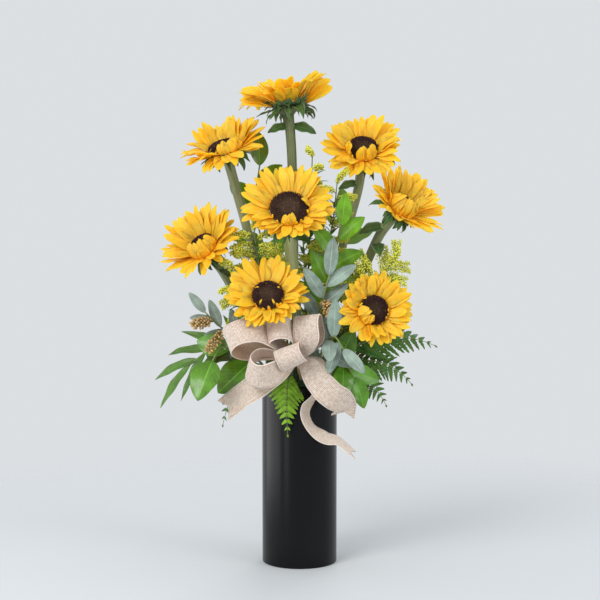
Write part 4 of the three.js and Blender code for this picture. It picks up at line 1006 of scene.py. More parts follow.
@finish
def burlap(settings):
    """Fine burlap: threads both ways from the ribbon's own u and v, a hem along each edge, and slubs. Each
    edge has a painted highlight, and the insides of the loops have painted shade.
    """
    f = Finish("burlap")
    u, v = f.across()
    wide = settings.width / settings.thread
    turns = 2 * np.pi * wide
    slub_warp = f.noise(f.stretched(u * wide, v * 3.0), 1.0, 2.0)
    slub_weft = f.noise(f.stretched(u * 3.0, v * wide), 1.0, 2.0)
    warp = ((u * turns).math("SINE") * 0.5 + 0.5) * (slub_warp * 0.8 + 0.4)
    weft = ((v * turns).math("SINE") * 0.5 + 0.5) * (slub_weft * 0.8 + 0.4)
    weave = warp.math("MAXIMUM", weft)
    off = (u - 0.5).math("ABSOLUTE")
    hem = off.ramp(0.40, 0.43) - off.ramp(0.45, 0.47) * 0.5
    cloud = f.noise(f.at(), 45.0, 4.0)
    cloth, shade = tuple(settings.cloth), tuple(settings.shade)
    base = f.mix(weave.ramp(0.15, 0.8), shade, cloth)
    base = f.mix(slub_warp.ramp(0.55, 0.8) * 0.35, base, toned(cloth, 1.22))
    base = f.mix(slub_weft.ramp(0.6, 0.8) * 0.3, base, toned(cloth, 0.8))
    base = f.mix(cloud.ramp(0.35, 0.7) * 0.25, base, toned(cloth, 0.86))
    base = f.mix(f.noise(f.at(), 340.0, 2.0).ramp(0.42, 0.62) * 0.45, base, shade)
    # Painted highlight: the outermost edge of the ribbon is painted lighter; the hem's line inside it is
    # darker.
    rim = off.ramp(0.455, 0.475)
    base = f.mix(hem * 0.3, base, toned(shade, 0.8))
    base = f.mix(rim * 0.5, base, toned(cloth, 1.2))
    # Painted shade: the faces marked under, the insides of the bow's loops, are darker and browner.
    base = f.mix(f.attribute("under") * 0.4, base, (0.72 * cloth[0], 0.56 * cloth[1], 0.48 * cloth[2]))
    return f.done(
        Base_Color=base, Roughness=0.88, Normal=f.bump(weave * 0.7 + hem * 0.6, 0.0004, 0.7),
        Sheen_Weight=0.25, Sheen_Roughness=0.5, Specular_IOR_Level=0.25, Subsurface_Weight=0.6,
        Subsurface_Radius=(0.01, 0.0075, 0.0055), Subsurface_Scale=0.4,
    )


@finish
def floor_paint(settings):
    """A pale matt floor that thins out into the surroundings far from the vase."""
    f = Finish("floor_paint")
    where = f.at()
    pale = tuple(settings.floor)
    away = f.node("ShaderNodeVectorMath", {"operation": "LENGTH"}, {0: where}, output="Value")
    return f.done(
        Base_Color=f.mix(f.noise(where, 1.5, 2.0) * 0.5, pale, toned(pale, 1.02)),
        Roughness=0.7, Specular_IOR_Level=0.1, Alpha=1 - away.ramp(0.25, 1.1),
    )


def dress(piece, node):
    """Lets a piece stand for its node, which it hides, and ride on the one body."""
    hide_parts(node)
    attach(piece, "root")


# The vase, the foam and the pick.

def lip(radius, height, edge, start, end, steps=6):
    """A quarter round of radius edge at (radius, height), from angle start to end in degrees."""
    a = np.radians(np.linspace(start, end, steps))
    return np.stack([radius + edge * np.cos(a), height + edge * np.sin(a)], axis=-1)


class ARRANGEMENT_OT_vase(bpy.types.Operator):
    """Builds the vase, the foam that fills it and the finish of the bow's pick"""

    bl_idname = "arrangement.vase"
    bl_label = "Vase and foam"

    def execute(self, context):
        settings = context.scene.arrangement_vase
        outer, top = settings.radius / MM, settings.height / MM
        inner = outer - settings.wall / MM
        profile = np.vstack([
            [(0, 0)], lip(outer - 1.5, 1.5, 1.5, -90, 0), [(outer, top * k / 8) for k in range(1, 8)],
            lip(outer - VASE_LIP, top - VASE_LIP, VASE_LIP, 0, 90),
            lip(inner + VASE_LIP, top - VASE_LIP, VASE_LIP, 90, 180),
            [(inner, top / 2), (inner, VASE_FLOOR), (inner * 0.5, VASE_FLOOR), (0, VASE_FLOOR)],
        ])
        body = Body()
        add_turned(body, profile, 128)
        dress(body.build("vase_cylinder", [glaze(settings)]), "vase")

        side = FOAM_RADIUS
        rim = FOAM_TOP - FOAM_CHAMFER
        profile = np.vstack([
            [(0, FOAM_BOTTOM), (side, FOAM_BOTTOM), (side, rim - 30)],
            np.linspace((side, rim), (side - FOAM_CHAMFER, FOAM_TOP), 5),
            np.stack([np.linspace(side - FOAM_CHAMFER - 2, 0, 16), np.full(16, FOAM_TOP)], axis=-1),
        ])

        def cut(x, y, z):
            rough = np.sin(x * 0.9 + 1.3 * np.sin(y * 0.7)) * np.sin(y * 1.1 + 0.9 * np.sin(x * 0.6))
            return np.where(z > rim - 10, 0.45 * rough - 0.5, 0.0)

        body = Body()
        add_turned(body, profile, 96, wobble=cut)
        dress(body.build("foam_block", [soaked_foam(settings)]), "floral_foam")
        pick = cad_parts["bow_pick"]
        pick.data.materials.clear()
        pick.data.materials.append(pick_wood(settings))
        return {"FINISHED"}


# Sunflowers.

# What each petal and bract has of its own.
SHAPING = ("fold", "curl", "twist", "sway", "ruffle", "tint")


def head_basis(flower):
    """Rows x, y and z of the head's own frame: z the way it faces, x to the viewer's right."""
    z = unit(flower["face"])
    x = unit(np.array([1.0, 0, 0]) - z * z[0])
    return np.array([x, np.cross(z, x), z])


def placed_blade(flower, turn, tip, out, front, roll=0.0, **rest):
    """A blade of a head: at `turn` degrees round, tipped forward by `tip` degrees, rooted `out` from the
    axis and `front` over the head's plane, rolled about its length by `roll` degrees, in the arrangement's
    frame."""
    basis = head_basis(flower)
    spoke = round_about(turn)
    tip = np.radians(tip)
    ahead = np.array([0.0, 0, 1.0])
    along = (spoke * np.cos(tip) + ahead * np.sin(tip)) @ basis
    up = (ahead * np.cos(tip) - spoke * np.sin(tip)) @ basis
    return dict(
        root=(spoke * out + ahead * front) @ basis + np.array(flower["head"], float), along=along,
        up=turned(up, along, np.radians(roll)), turn=turn, tip=np.degrees(tip), **rest,
    )


def solid_petal(flower, row, index, way):
    """The solid's petal, as part of the frame."""
    extra, scale = way
    seed, key = SUNFLOWERS.index(flower) + 1, row * 50 + index
    turn = (index + row / 2) / PETALS_IN_ROW * 360 + 3 * spread(seed, key, 1)
    is_folded = row == 1 and any(abs((turn - at + 540) % 360 - 180) < 17 for at in flower["folded"])
    round_ = np.radians(turn)
    sag, skew = flower.get("sag", (0, 0)), flower.get("skew", (0, 0))
    sunk = sag[1] * max(0, np.cos(round_ - np.radians(sag[0])))
    open_ = flower["rise"] - 8 + 15 * row - flower["lift"] * np.sin(round_) - sunk + 4 * spread(seed, key, 2)
    disc = flower["disc"]
    longer = flower.get("oval", 0) * np.cos(2 * round_) + skew[1] * np.cos(round_ - np.radians(skew[0]))
    grown = 1 + longer - 0.07 * row + 0.08 * spread(seed, key, 3)
    kept = flower.get("tuck", 0.65) if is_folded else 1
    arched = flower.get("arch", 0.25) + 0.25 * spread(seed, key, 5)
    bend = flower.get("curl", FOLD_BEND) if is_folded else arched
    return placed_blade(
        flower, turn, (FOLD_TIP if is_folded else open_) + extra, disc + (FOLD_OUT if is_folded else -0.5),
        0.7 * row - 1, length=3 + flower["petal"] * grown * scale * kept, bend=bend,
        width=(15.5 + 0.12 * disc + 1.2 * spread(seed, key, 4)) * flower.get("broad", 1) * scale,
        corners=[(0.36, 0.92), (0.72, 0.96)], fold=0.16, row=row, key=key, folded=is_folded,
    )


def fine_petals(flower, solids, width):
    """Three narrower petals in the place of each broad one: one over its middle and one behind each side,
    with a wide overlap, and each with its own length, bend, sway, twist and roll of the tip."""
    seed = SUNFLOWERS.index(flower) + 11
    made = []
    for solid in solids:
        for aside in (-1, 0, 1):
            key = 3 * solid["key"] + aside
            calm = 0.4 if solid["folded"] else 1
            turn = solid["turn"] + aside * (10 + 2.5 * spread(seed, key, 1))
            tip = solid["tip"] + (1.5, 3, -3)[aside] + 6 * spread(seed, key, 2) * calm
            made.append(placed_blade(
                flower, turn, tip, flower["disc"] + (1.4 if solid["folded"] else -2),
                0.8 * solid["row"] - 1.2 + 0.35 * aside,
                roll=flower.get("roll", 0) * np.cos(np.radians(turn)) * (1 + 0.4 * spread(seed, key, 13)),
                length=solid["length"] * (0.98 if aside == 0 else 0.93) * (1 + 0.09 * spread(seed, key, 3)),
                width=width * flower.get("broad", 1) * (1 + 0.16 * spread(seed, key, 4))
                * min(1, 0.5 + solid["length"] / 80),
                bend=solid["bend"] + 0.22 * spread(seed, key, 5) * calm,
                curl=0.5 * spread(seed, key, 6) * calm, sway=0.1 * spread(seed, key, 11),
                twist=0.55 * spread(seed, key, 7), ruffle=0.8 + 1.0 * draw(seed, key, 8),
                fold=0.2 + 0.16 * spread(seed, key, 9) + flower.get("cup", 0), tint=draw(seed, key, 10),
                blunt=0.34 + 0.26 * draw(seed, key, 12),
            ))
    return made


def tongues(flower):
    """Short narrow petals of the inner rim that lean in over the florets."""
    seed = SUNFLOWERS.index(flower) + 41
    return [
        placed_blade(
            flower, turn, 72 + 8 * spread(seed, turn, 1), flower["disc"] - 2.5, 2.5,
            length=13 + 3 * spread(seed, turn, 2), width=3.4, bend=-1.5, curl=-0.4, twist=0.3, sway=0.0,
            ruffle=0.2, fold=0.25, tint=draw(seed, turn, 3), blunt=0.6,
        )
        for turn in flower["tongues"]
    ]


def fringe(flower):
    """Short petals that stand round the disc and lean in over its rim, so that the rim is ragged."""
    seed = SUNFLOWERS.index(flower) + 61
    made = []
    for index in range(20):
        if draw(seed, index, 6) > 0.62:
            continue
        made.append(placed_blade(
            flower, 18 * index + 6 * spread(seed, index, 1), 66 + 14 * spread(seed, index, 2),
            flower["disc"] + 0.4, 0.6, length=8 + 3.4 * spread(seed, index, 3),
            width=5.6 + 1.6 * spread(seed, index, 4), bend=-1.0 + 0.4 * spread(seed, index, 5), curl=-0.3,
            twist=0.3, sway=0.0, ruffle=0.2, fold=0.2, tint=draw(seed, index, 7), blunt=0.6,
        ))
    return made


def crown(flower, width):
    """Broad petals that stand up and turn their faces to the viewer, at [degrees round, degrees forward]."""
    seed = SUNFLOWERS.index(flower) + 71
    return [
        placed_blade(
            flower, turn, tip, flower["disc"] - 2, 0.6, roll=72 * np.cos(np.radians(turn)),
            length=flower["petal"] * (0.98 + 0.08 * spread(seed, turn, 1)), width=1.2 * width, bend=0.5,
            curl=0.3 * spread(seed, turn, 2), sway=0.06 * spread(seed, turn, 3),
            twist=0.3 * spread(seed, turn, 4), ruffle=1.0, fold=0.3, tint=draw(seed, turn, 5), blunt=0.32,
        )
        for turn, tip in flower.get("crown", ())
    ]


def petal_outline(blunt):
    """Petals that are broad from their first third to their last: sin(pi t^0.9)^blunt, a little narrower to
    the tip. The smaller blunt is, the rounder the tip."""
    return lambda t: np.sin(np.pi * t ** 0.9) ** np.asarray(blunt)[:, None] * (1 - 0.14 * t ** 6)


class ARRANGEMENT_OT_petals(bpy.types.Operator):
    """Builds the petals of each sunflower"""

    bl_idname = "arrangement.petals"
    bl_label = "Petals"

    def execute(self, context):
        settings = context.scene.arrangement_flowers
        for flower in SUNFLOWERS:
            node = f"sunflower_{flower['name']}_petals"
            solids = []
            for row in range(2):
                for index in range(PETALS_IN_ROW):
                    make = lambda way: solid_petal(flower, row, index, way)
                    solids.append(chosen(node, PETAL_WAYS, make, blade_marks))
            solids = [solid for solid in solids if solid]
            body = Body()
            width = settings.petal_width / MM
            for pieces, rows in (
                (fine_petals(flower, solids, width), 13), (crown(flower, width), 13),
                (tongues(flower) + fringe(flower), 7),
            ):
                if pieces:
                    p = gathered(pieces)
                    add_placed(
                        body, p, petal_outline(p["blunt"]), SHAPING, rows=rows, sides=12,
                        thick=settings.petal_sheet / MM, ribs=0.2, waves=1.4,
                    )
            dress(body.build(f"petals_{flower['name']}", [petal_skin(settings)]), node)
        return {"FINISHED"}


def disc_height(share):
    """Height of the disc over its base: a low dome with a dimple, which falls away at the rim."""
    return 5.2 + 2.6 * np.sin(np.pi * share) - 2.8 * share ** 6


class ARRANGEMENT_OT_discs(bpy.types.Operator):
    """Builds the brown middle of each sunflower, floret by floret"""

    bl_idname = "arrangement.discs"
    bl_label = "Discs"

    def execute(self, context):
        settings = context.scene.arrangement_flowers
        for seed, flower in enumerate(SUNFLOWERS):
            radius = flower["disc"] + 0.5
            base = PLATE + GAP
            basis, head = head_basis(flower), np.array(flower["head"], float)
            shares = np.linspace(1, 0, 16)
            profile = [(0, base - 2), (radius * 0.97, base - 2)]
            profile += [(radius * 0.97 * s, base + disc_height(s) - 1.2) for s in shares]
            body = Body()
            add_turned(body, profile, 40, basis, head, tint=0.3)
            index = np.arange(settings.florets)
            out = np.sqrt((index + 0.5) / settings.florets)
            spoke = round_about(index * GOLDEN_ANGLE + 40 * seed)
            lean = 0.35 * (out - 0.45) + 0.12 * spread(seed, index, 1)
            open_ = np.clip((out - 0.42) / 0.25, 0, 1)
            local = spoke * (radius * 0.97 * out)[:, None]
            local[:, 2] = base + disc_height(out) - 1.4
            way = spoke * lean[:, None] + np.array([0, 0, 1.0])
            length = 1.9 + 1.5 * open_ + 0.7 * draw(seed, index, 2)
            wide = 0.62 + 0.25 * open_ + 0.1 * spread(seed, index, 3)
            add_buds(
                body, local @ basis + head, unit(way) @ basis, length, wide, sides=5,
                shape=((0.35, 0.75), (0.72, 1.0), (0.92, 0.8)),
                tint=np.clip(0.15 + 0.75 * out + 0.15 * spread(seed, index, 4), 0, 1),
            )
            dress(body.build(f"disc_{flower['name']}", [floret_skin(settings)]),
                  f"sunflower_{flower['name']}_disc")
        return {"FINISHED"}


def flower_stations(flower):
    """The stations of a flower's stem, which meets its head from behind."""
    look = unit(flower["face"])
    neck = np.array(flower["head"], float) + look * (4 - NECK)
    reach = np.linalg.norm(neck - np.array([*flower["foot"], FOAM_TOP], float))
    below = neck - look * min(30, reach * 0.3)
    return stations(flower["foot"], 60, [below, neck], 4 + round(reach / 90))


def solid_bract(flower, index, way):
    """The solid's bract, as part of the frame."""
    extra, scale = way
    seed = SUNFLOWERS.index(flower) + 31
    turn = index / BRACTS * 360 + 10 * spread(seed, index, 1)
    is_big = abs((turn - flower["big"][0] + 540) % 360 - 180) < 180 / BRACTS
    grown = flower["big"][1] if is_big else 1
    return placed_blade(
        flower, turn, min(36, flower["rise"]) - 38 + 12 * spread(seed, index, 2) - extra,
        flower["disc"] * 0.55, -6,
        length=(flower["disc"] * 1.3 + 5 * spread(seed, index, 3)) * scale * grown, width=12 * scale * grown,
        bend=0.5 + 0.4 * spread(seed, index, 4), corners=[(0.45, 1)], fold=0.1, index=index, grown=grown,
    )


def fine_bracts(flower, solids):
    """Nine pointed bracts in the place of each solid one: itself and smaller ones on each side, in two
    whorls, each with its own curl, and three that stand against the petals. The lower whorl hangs."""
    seed = SUNFLOWERS.index(flower) + 51
    made = []
    for solid in solids:
        for side in (-2.5, -1.5, -0.5, 0, 1, 2):
            key = 6 * solid["index"] + side + 2.5
            is_own = side == 0
            hangs = 0 if is_own else 22 * (abs(side) % 1) * (1 + draw(seed, key, 9))
            stands = 0 if abs(side) % 1 else 26 * draw(seed, key, 10)
            lesser = 1 if is_own else (0.86 + 0.2 * spread(seed, key, 1)) / max(1, solid["grown"])
            grown = solid["width"] / 12 if is_own else 0.84
            made.append(placed_blade(
                flower, solid["turn"] + side * 12 + 4 * spread(seed, key, 2),
                solid["tip"] + 4 * abs(side) - hangs + (not is_own) * stands + 8 * spread(seed, key, 3),
                flower["disc"] * 0.6, -6.5 + 1.1 * abs(side) - hangs / 12,
                length=solid["length"] * lesser, width=9 * grown,
                bend=solid["bend"] + 0.5 * spread(seed, key, 4), curl=0.2 + 1.1 * draw(seed, key, 5),
                twist=1.0 * spread(seed, key, 6), sway=0.16 * spread(seed, key, 8), ruffle=0.7,
                fold=0.26, tint=draw(seed, key, 7),
            ))
        for side in (-1.1, 0.4, 1.6):
            key = 10 * solid["index"] + side + 300
            made.append(placed_blade(
                flower, solid["turn"] + side * 15 + 4 * spread(seed, key, 1),
                flower["rise"] - 17 + 9 * spread(seed, key, 2), flower["disc"] + 0.6, -3.4,
                length=15 + 5 * spread(seed, key, 3), width=7.5, bend=0.3, curl=0.5 * spread(seed, key, 5),
                twist=0.6 * spread(seed, key, 6), sway=0.12 * spread(seed, key, 8), ruffle=0.5, fold=0.24,
                tint=draw(seed, key, 7),
            ))
    return made


def solid_stem_leaf(path, at, way):
    """The solid's leaf on a flower's stem."""
    up_stem, turn, length = at
    swing, scale = way
    return dict(
        root=on_path(path, up_stem), along=round_about(turn + swing) + 0.1 * UP,
        up=np.array([0, -0.7, 0.7]), bend=1.0, fold=0.15,
        length=length * scale, width=length * scale * 0.5, corners=LEAVES["lemon"]["corners"], tint=0.4,
    )


def bract_outline(t):
    """Broad near the base, drawn out to a long point."""
    return np.sin(np.pi * t ** 0.7) ** 0.9


def leaf_outline(kind):
    """The smooth outline of a kind of leaf."""
    shape = LEAVES[kind]
    return lambda t: np.sin(np.pi * t ** shape["early"]) ** shape["full"]


class ARRANGEMENT_OT_stems(bpy.types.Operator):
    """Builds the stem, cup, bracts and stem leaves of each sunflower"""

    bl_idname = "arrangement.stems"
    bl_label = "Sunflower stems"

    def execute(self, context):
        settings = context.scene.arrangement_flowers
        sheet = context.scene.arrangement_foliage.leaf_sheet / MM
        bract_skin = leaf_skin("bract_skin", settings.bract, 0.5, 0.5, 0.35, 0.0, 0.75)
        for flower in SUNFLOWERS:
            node = f"sunflower_{flower['name']}_stem"
            path = flower_stations(flower)
            smooth = smooth_stem(path, 36)
            rising = np.concatenate([[0], np.linspace(0, 1, 36)])
            body = Body()
            pale = flower.get("pale", 0.28)
            neck = flower.get("neck", NECK_RADIUS)
            add_stalk(body, smooth, 4.6 + (neck - 4.3) * rising, sides=32, ribs=0.06, lobes=9, tint=pale)
            basis, head = head_basis(flower), np.array(flower["head"], float)
            disc, top = flower["disc"], -PLATE - GAP
            share = np.linspace(0, 1, 12)
            cup = [neck + 0.6 + (disc - neck - 1.6) * share ** 1.15, -NECK + (NECK + top) * share ** 0.9]
            cup = np.stack(cup, axis=-1)
            rim = [(disc - 0.4, top + 0.4), (disc + 0.9, 0.9), (disc + 0.3, 1.3), (disc - 3, 0.2), (0, top)]
            add_turned(body, np.vstack([[(0, -NECK)], cup, rim]), 32, basis, head, tint=pale * 0.5)
            bracts = [
                chosen(node, BRACT_WAYS, lambda way: solid_bract(flower, index, way), blade_marks)
                for index in range(BRACTS)
            ]
            bracts = [solid for solid in bracts if solid]
            if bracts:
                add_placed(
                    body, gathered(fine_bracts(flower, bracts)), bract_outline, SHAPING, rows=10, sides=10,
                    thick=sheet, slot=1,
                )
            for at in flower["leaves"]:
                leaf = chosen(node, LEAF_WAYS, lambda way: solid_stem_leaf(path, at, way), blade_marks)
                if leaf:
                    add_placed(
                        body, leaf, leaf_outline("lemon"), ("tint",), rows=18, sides=14, fold=0.2,
                        thick=sheet, ruffle=1.0, waves=2.5, slot=1,
                    )
            dress(body.build(f"stem_{flower['name']}", [stem_skin(settings), bract_skin]), node)
        return {"FINISHED"}


# Leafy sprays.

def solid_leaf(spray, path, index, way):
    """The solid's leaf on a spray, as part of the frame."""
    swing, scale = way
    shape, size_, face = LEAVES[spray["kind"]], spray["size"], unit(spray["face"])
    seed = SPRAYS.index(spray) + 61
    at = spray["bare"] + (1 - spray["bare"]) * (index + 0.3) / (spray["leaves"] - 0.7)
    root, along = on_path(path, min(at, 0.995)), path_way(path, min(at, 0.995))
    turn = (0 if index % 2 else 180) + 22 * spread(seed, index, 1) + swing
    out = turned(unit(np.cross(along, face)), along, np.radians(turn))
    angle = np.radians(8 if index == spray["leaves"] - 1 else spray["open"] + 10 * spread(seed, index, 2))
    forward = along * np.cos(angle) + out * np.sin(angle)
    length = size_[0] * (1 - 0.22 * abs(at - 0.7) - 0.12 * draw(seed, index, 3)) * scale
    return dict(
        root=root - forward * 0.6, along=forward, up=face - out * 0.15, length=length,
        width=length / size_[0] * size_[1], bend=shape["bend"] + 0.2 * spread(seed, index, 4),
        corners=shape["corners"], fold=shape["fold"], tint=draw(seed, index, 5),
        curl=0.25 * spread(seed, index, 6), twist=0.3 * spread(seed, index, 7),
    )


def stem_path(plant):
    """The stations of a spray's or a goldenrod's stem."""
    return stations(plant["foot"], 44, plant["line"], 6)


class ARRANGEMENT_OT_sprays(bpy.types.Operator):
    """Builds the lemon leaf, ruscus and eucalyptus sprays"""

    bl_idname = "arrangement.sprays"
    bl_label = "Leafy sprays"

    def execute(self, context):
        settings = context.scene.arrangement_foliage
        skins = {
            "lemon": leaf_skin("lemon_leaf_skin", settings.lemon, 0.26, 1.0, 0.35, 0.35),
            "lemon_young": leaf_skin("young_leaf_skin", settings.young, 0.34, 0.8, 0.25, 0.15),
            "ruscus": leaf_skin("ruscus_skin", settings.ruscus, 0.40, 0.35, 0.2, 0.1),
            "eucalyptus": leaf_skin("eucalyptus_skin", settings.eucalyptus, 0.52, 0.4, 0.5),
        }
        twig = bud_skin("twig_skin", settings.twig)
        for spray in SPRAYS:
            path = stem_path(spray)
            kind = spray["kind"]
            leaves = [
                chosen(spray["name"], LEAF_WAYS, lambda way: solid_leaf(spray, path, index, way), blade_marks)
                for index in range(spray["leaves"])
            ]
            body = Body()
            smooth = smooth_stem(path, 24)
            add_stalk(body, smooth, np.linspace(1.7, 1.0, 25), sides=8, slot=1)
            narrow = kind == "eucalyptus"
            add_placed(
                body, gathered([leaf for leaf in leaves if leaf]), leaf_outline(kind),
                ("curl", "twist", "tint"), rows=22, sides=16, fold=LEAVES[kind]["fold"] * 1.2,
                thick=settings.leaf_sheet / MM, ruffle=0.7 if narrow else 1.1, waves=1.2 if narrow else 2.2,
            )
            dress(body.build(f"{spray['name']}_spray", [skins[kind], twig]), spray["name"])
        return {"FINISHED"}


# Seed clusters.

class ARRANGEMENT_OT_seeds(bpy.types.Operator):
    """Builds the eucalyptus seed clusters, capsule by capsule"""

    bl_idname = "arrangement.seeds"
    bl_label = "Seed clusters"

    def execute(self, context):
        settings = context.scene.arrangement_foliage
        for seed, cluster in enumerate(CLUSTERS):
            spray = next(s for s in SPRAYS if s["name"] == cluster["stem"])
            way = np.array(cluster["way"], float)
            length, way = np.linalg.norm(way), unit(way)
            root = on_path(stem_path(spray), cluster["share"]) + way * CLUSTER_AWAY
            side = unit(np.cross(way, UP))
            other = np.cross(side, way)
            body = Body()
            twig = root + way * (length * np.linspace(0, 0.9, 9))[:, None]
            add_stalk(body, twig, np.linspace(1.1, 0.6, 9), sides=6, slot=1)
            index = np.arange(CAPSULES)
            at = 0.1 + 0.85 * (index + 0.5) / CAPSULES
            angle = np.radians(index * GOLDEN_ANGLE)
            spoke = side * np.cos(angle)[:, None] + other * np.sin(angle)[:, None]
            ahead = unit(spoke + way * (0.35 + 0.5 * draw(seed, index, 1))[:, None])
            foot = root + way * (length * at)[:, None]
            reach = 0.8 + 5.0 * draw(seed, index, 2) * np.sin(np.pi * np.clip(at, 0.1, 0.92))
            add_buds(body, foot, ahead, reach + 1.5, 0.32, sides=4, slot=1)
            add_buds(
                body, foot + ahead * reach[:, None], ahead, 4.6 + 1.3 * draw(seed, index, 3),
                1.3 + 0.4 * draw(seed, index, 4), sides=7,
                shape=((0.16, 0.5), (0.42, 0.95), (0.68, 1.0), (0.84, 0.72), (0.93, 0.8)),
                tint=draw(seed, index, 5),
            )
            finishes_ = [bud_skin("capsule_skin", settings.seeds), bud_skin("twig_skin", settings.twig)]
            dress(body.build(f"{cluster['name']}_capsules", finishes_), cluster["name"])
        return {"FINISHED"}


# Ferns.

def frond_spine(fern, turn):
    """The frond's three curve points, swung about its root."""
    root, middle, tip = np.array(fern["spine"], float)
    swing = lambda p: turned(p - root, UP, np.radians(turn)) + root
    return np.array([root, swing(middle), swing(tip)])


def frond_frame(spine, face, t):
    """The point, way, side and normal of the frond's rib at each share t."""
    place = bezier(spine, t)
    after, before = np.minimum(t + SMALL_STEP, 1), np.maximum(t - SMALL_STEP, 0)
    way = unit(bezier(spine, after) - bezier(spine, before))
    side = unit(np.cross(way, unit(face)))
    return place, way, side, unit(np.cross(side, way))


def frond_marks(fern, turn):
    """The corners at the tips of the solid frond's leaflets."""
    k = np.arange(FERN_PAIRS)
    step = 1 / (FERN_PAIRS + 0.6)
    reach = fern["wide"] * (1 - k * step) ** 0.85 * np.where(k == 0, 0.8, 1) * (1 + 0.06 * spread(7, k, 1))
    lean = step * (0.8 + 2 * (1 - k * step))
    t = np.minimum(k * step + lean, 1)
    place, _, side, normal = frond_frame(frond_spine(fern, turn), fern["face"], t)
    tips = [place + side * (sign * reach)[:, None] - normal * (reach * 0.14)[:, None] for sign in (-1, 1)]
    return np.vstack([tip + normal * high * FERN_SHEET / 2 for tip in tips for high in (-1, 1)])


def leaflet_outline(t):
    """A lance that is broad near its base, with six teeth on each edge that point to its tip."""
    tooth = 0.64 + 0.36 * np.mod(19 / 3 * t + 0.01, 1)
    return tooth * np.minimum(1, t / 0.07) * (1 - t) ** 0.62


def build_frond(body, fern, turn, sheet):
    """Adds a frond: a rib and pairs of toothed leaflets that lean to its tip and shorten towards it."""
    spine = frond_spine(fern, turn)
    seed = FERNS.index(fern) + 5
    extra = 5
    step = 1 / (FERN_PAIRS + 0.6)
    k = np.concatenate([np.arange(FERN_PAIRS) + 0.45, FERN_PAIRS + 0.35 + 0.12 * np.arange(extra)])
    k = k[k * step < 0.995]
    reach = fern["wide"] * (1 - k * step) ** 0.85 * np.where(k < 1, 0.86, 1) * (1 + 0.06 * spread(7, k, 1))
    t = np.tile(np.minimum(k * step, 1), 2)
    reach = np.tile(reach, 2)
    sign = np.repeat([-1.0, 1.0], len(k))
    place, way, side, normal = frond_frame(spine, fern["face"], t)
    gap = np.linalg.norm(spine[2] - spine[0]) * step * 1.15
    out = side * (sign * reach)[:, None] + way * (gap * (0.3 + 2 * (1 - t)))[:, None]
    out = out - normal * (0.12 * reach)[:, None]
    reach, out = np.linalg.norm(out, axis=-1), unit(out)
    rib = bezier(spine, np.linspace(0, 1, 24))
    add_stalk(body, rib, np.linspace(1.2, 0.35, 24), sides=6, slot=1)
    wide = 1.15 * gap * np.minimum(1, reach / (gap * 1.9)) * (1.3 if fern.get("young") else 1)
    key = np.arange(len(t))
    add_blades(
        body, place, out, normal, reach * 1.04, wide * (1 + 0.1 * spread(seed, key, 2)),
        0.3 + 0.16 * spread(seed, key, 3), leaflet_outline, rows=18, sides=8, fold=0.1, thick=sheet,
        curl=0.2 * spread(seed, key, 4), twist=0.3 * spread(seed, key, 5), ruffle=0.3,
        sway=-0.08 * sign, tint=draw(seed, key, 6),
    )


class ARRANGEMENT_OT_ferns(bpy.types.Operator):
    """Builds the fern fronds, leaflet by leaflet"""

    bl_idname = "arrangement.ferns"
    bl_label = "Ferns"

    def execute(self, context):
        settings = context.scene.arrangement_foliage
        grown = leaf_skin("fern_skin", settings.fern, 0.42, 0.4, 0.3)
        young = leaf_skin("young_fern_skin", settings.young_fern, 0.42, 0.4, 0.3)
        for fern in FERNS:
            skin = young if fern.get("young") else grown
            marks = lambda turn: frond_marks(fern, turn)
            turn = chosen(fern["name"], FROND_WAYS, lambda way: way, marks)
            body = Body()
            root = np.array(fern["spine"][0], float)
            ahead = unit(np.array(fern["spine"][1], float) - root)
            path = stations(fern["foot"], 30, [root, root + ahead * 9], 4)
            smooth = smooth_stem(path, 16)
            add_stalk(body, smooth, 1.4, sides=8, slot=1)
            if turn is not None:
                build_frond(body, fern, turn, settings.leaf_sheet / MM * 0.8)
            dress(body.build(f"{fern['name']}_frond", [skin, bud_skin("twig_skin", settings.twig)]),
                  fern["name"])
        return {"FINISHED"}


# Goldenrod.

def solid_plume(plant, path, index, way):
    """The solid's plume, as part of the frame."""
    swing, scale = way
    seed = GOLDENROD.index(plant) + 91
    at = plant["bare"] + (1 - plant["bare"]) * (index + 0.4) / plant["plumes"]
    is_top = index == plant["plumes"] - 1
    stand = 0.98 if is_top else at
    root, along = on_path(path, stand), path_way(path, stand)
    side = unit(np.cross(np.array([1, 0.2, 0]), along))
    turn = (90 if index % 2 else -90) + 62 * spread(seed, index, 1) + swing
    out = turned(side, along, np.radians(turn))
    angle = np.radians(4 if is_top else plant["open"] + 12 * spread(seed, index, 2))
    return dict(
        root=root, along=along * np.cos(angle) + out * np.sin(angle), up=along, index=index,
        length=plant["reach"] * (1 - 0.5 * (at - plant["bare"])) * scale,
    )


def arc(made, t):
    """Points and headings along a plume's arched middle, at shares t, with its side vector."""
    forward = unit(made["along"])
    side = unit(np.cross(forward, made["up"]))
    lift = np.cross(side, forward)
    t = np.asarray(t, float)[..., None]
    length = made["length"]
    place = made["root"] + forward * length * np.sin(PLUME_BEND * t) / PLUME_BEND
    place = place - lift * length * (1 - np.cos(PLUME_BEND * t)) / PLUME_BEND
    normal = lift * np.cos(PLUME_BEND * t) + forward * np.sin(PLUME_BEND * t)
    way = forward * np.cos(PLUME_BEND * t) - lift * np.sin(PLUME_BEND * t)
    return place, way, normal, side


def plume_ring(made, t, radius, shift):
    """Corners round a plume's middle at share t."""
    angle = round_angles(PLUME_SIDES, shift)
    place, _, normal, side = arc(made, np.full(PLUME_SIDES, t))
    return place + side * (radius * np.cos(angle))[:, None] + normal * (radius * np.sin(angle))[:, None]


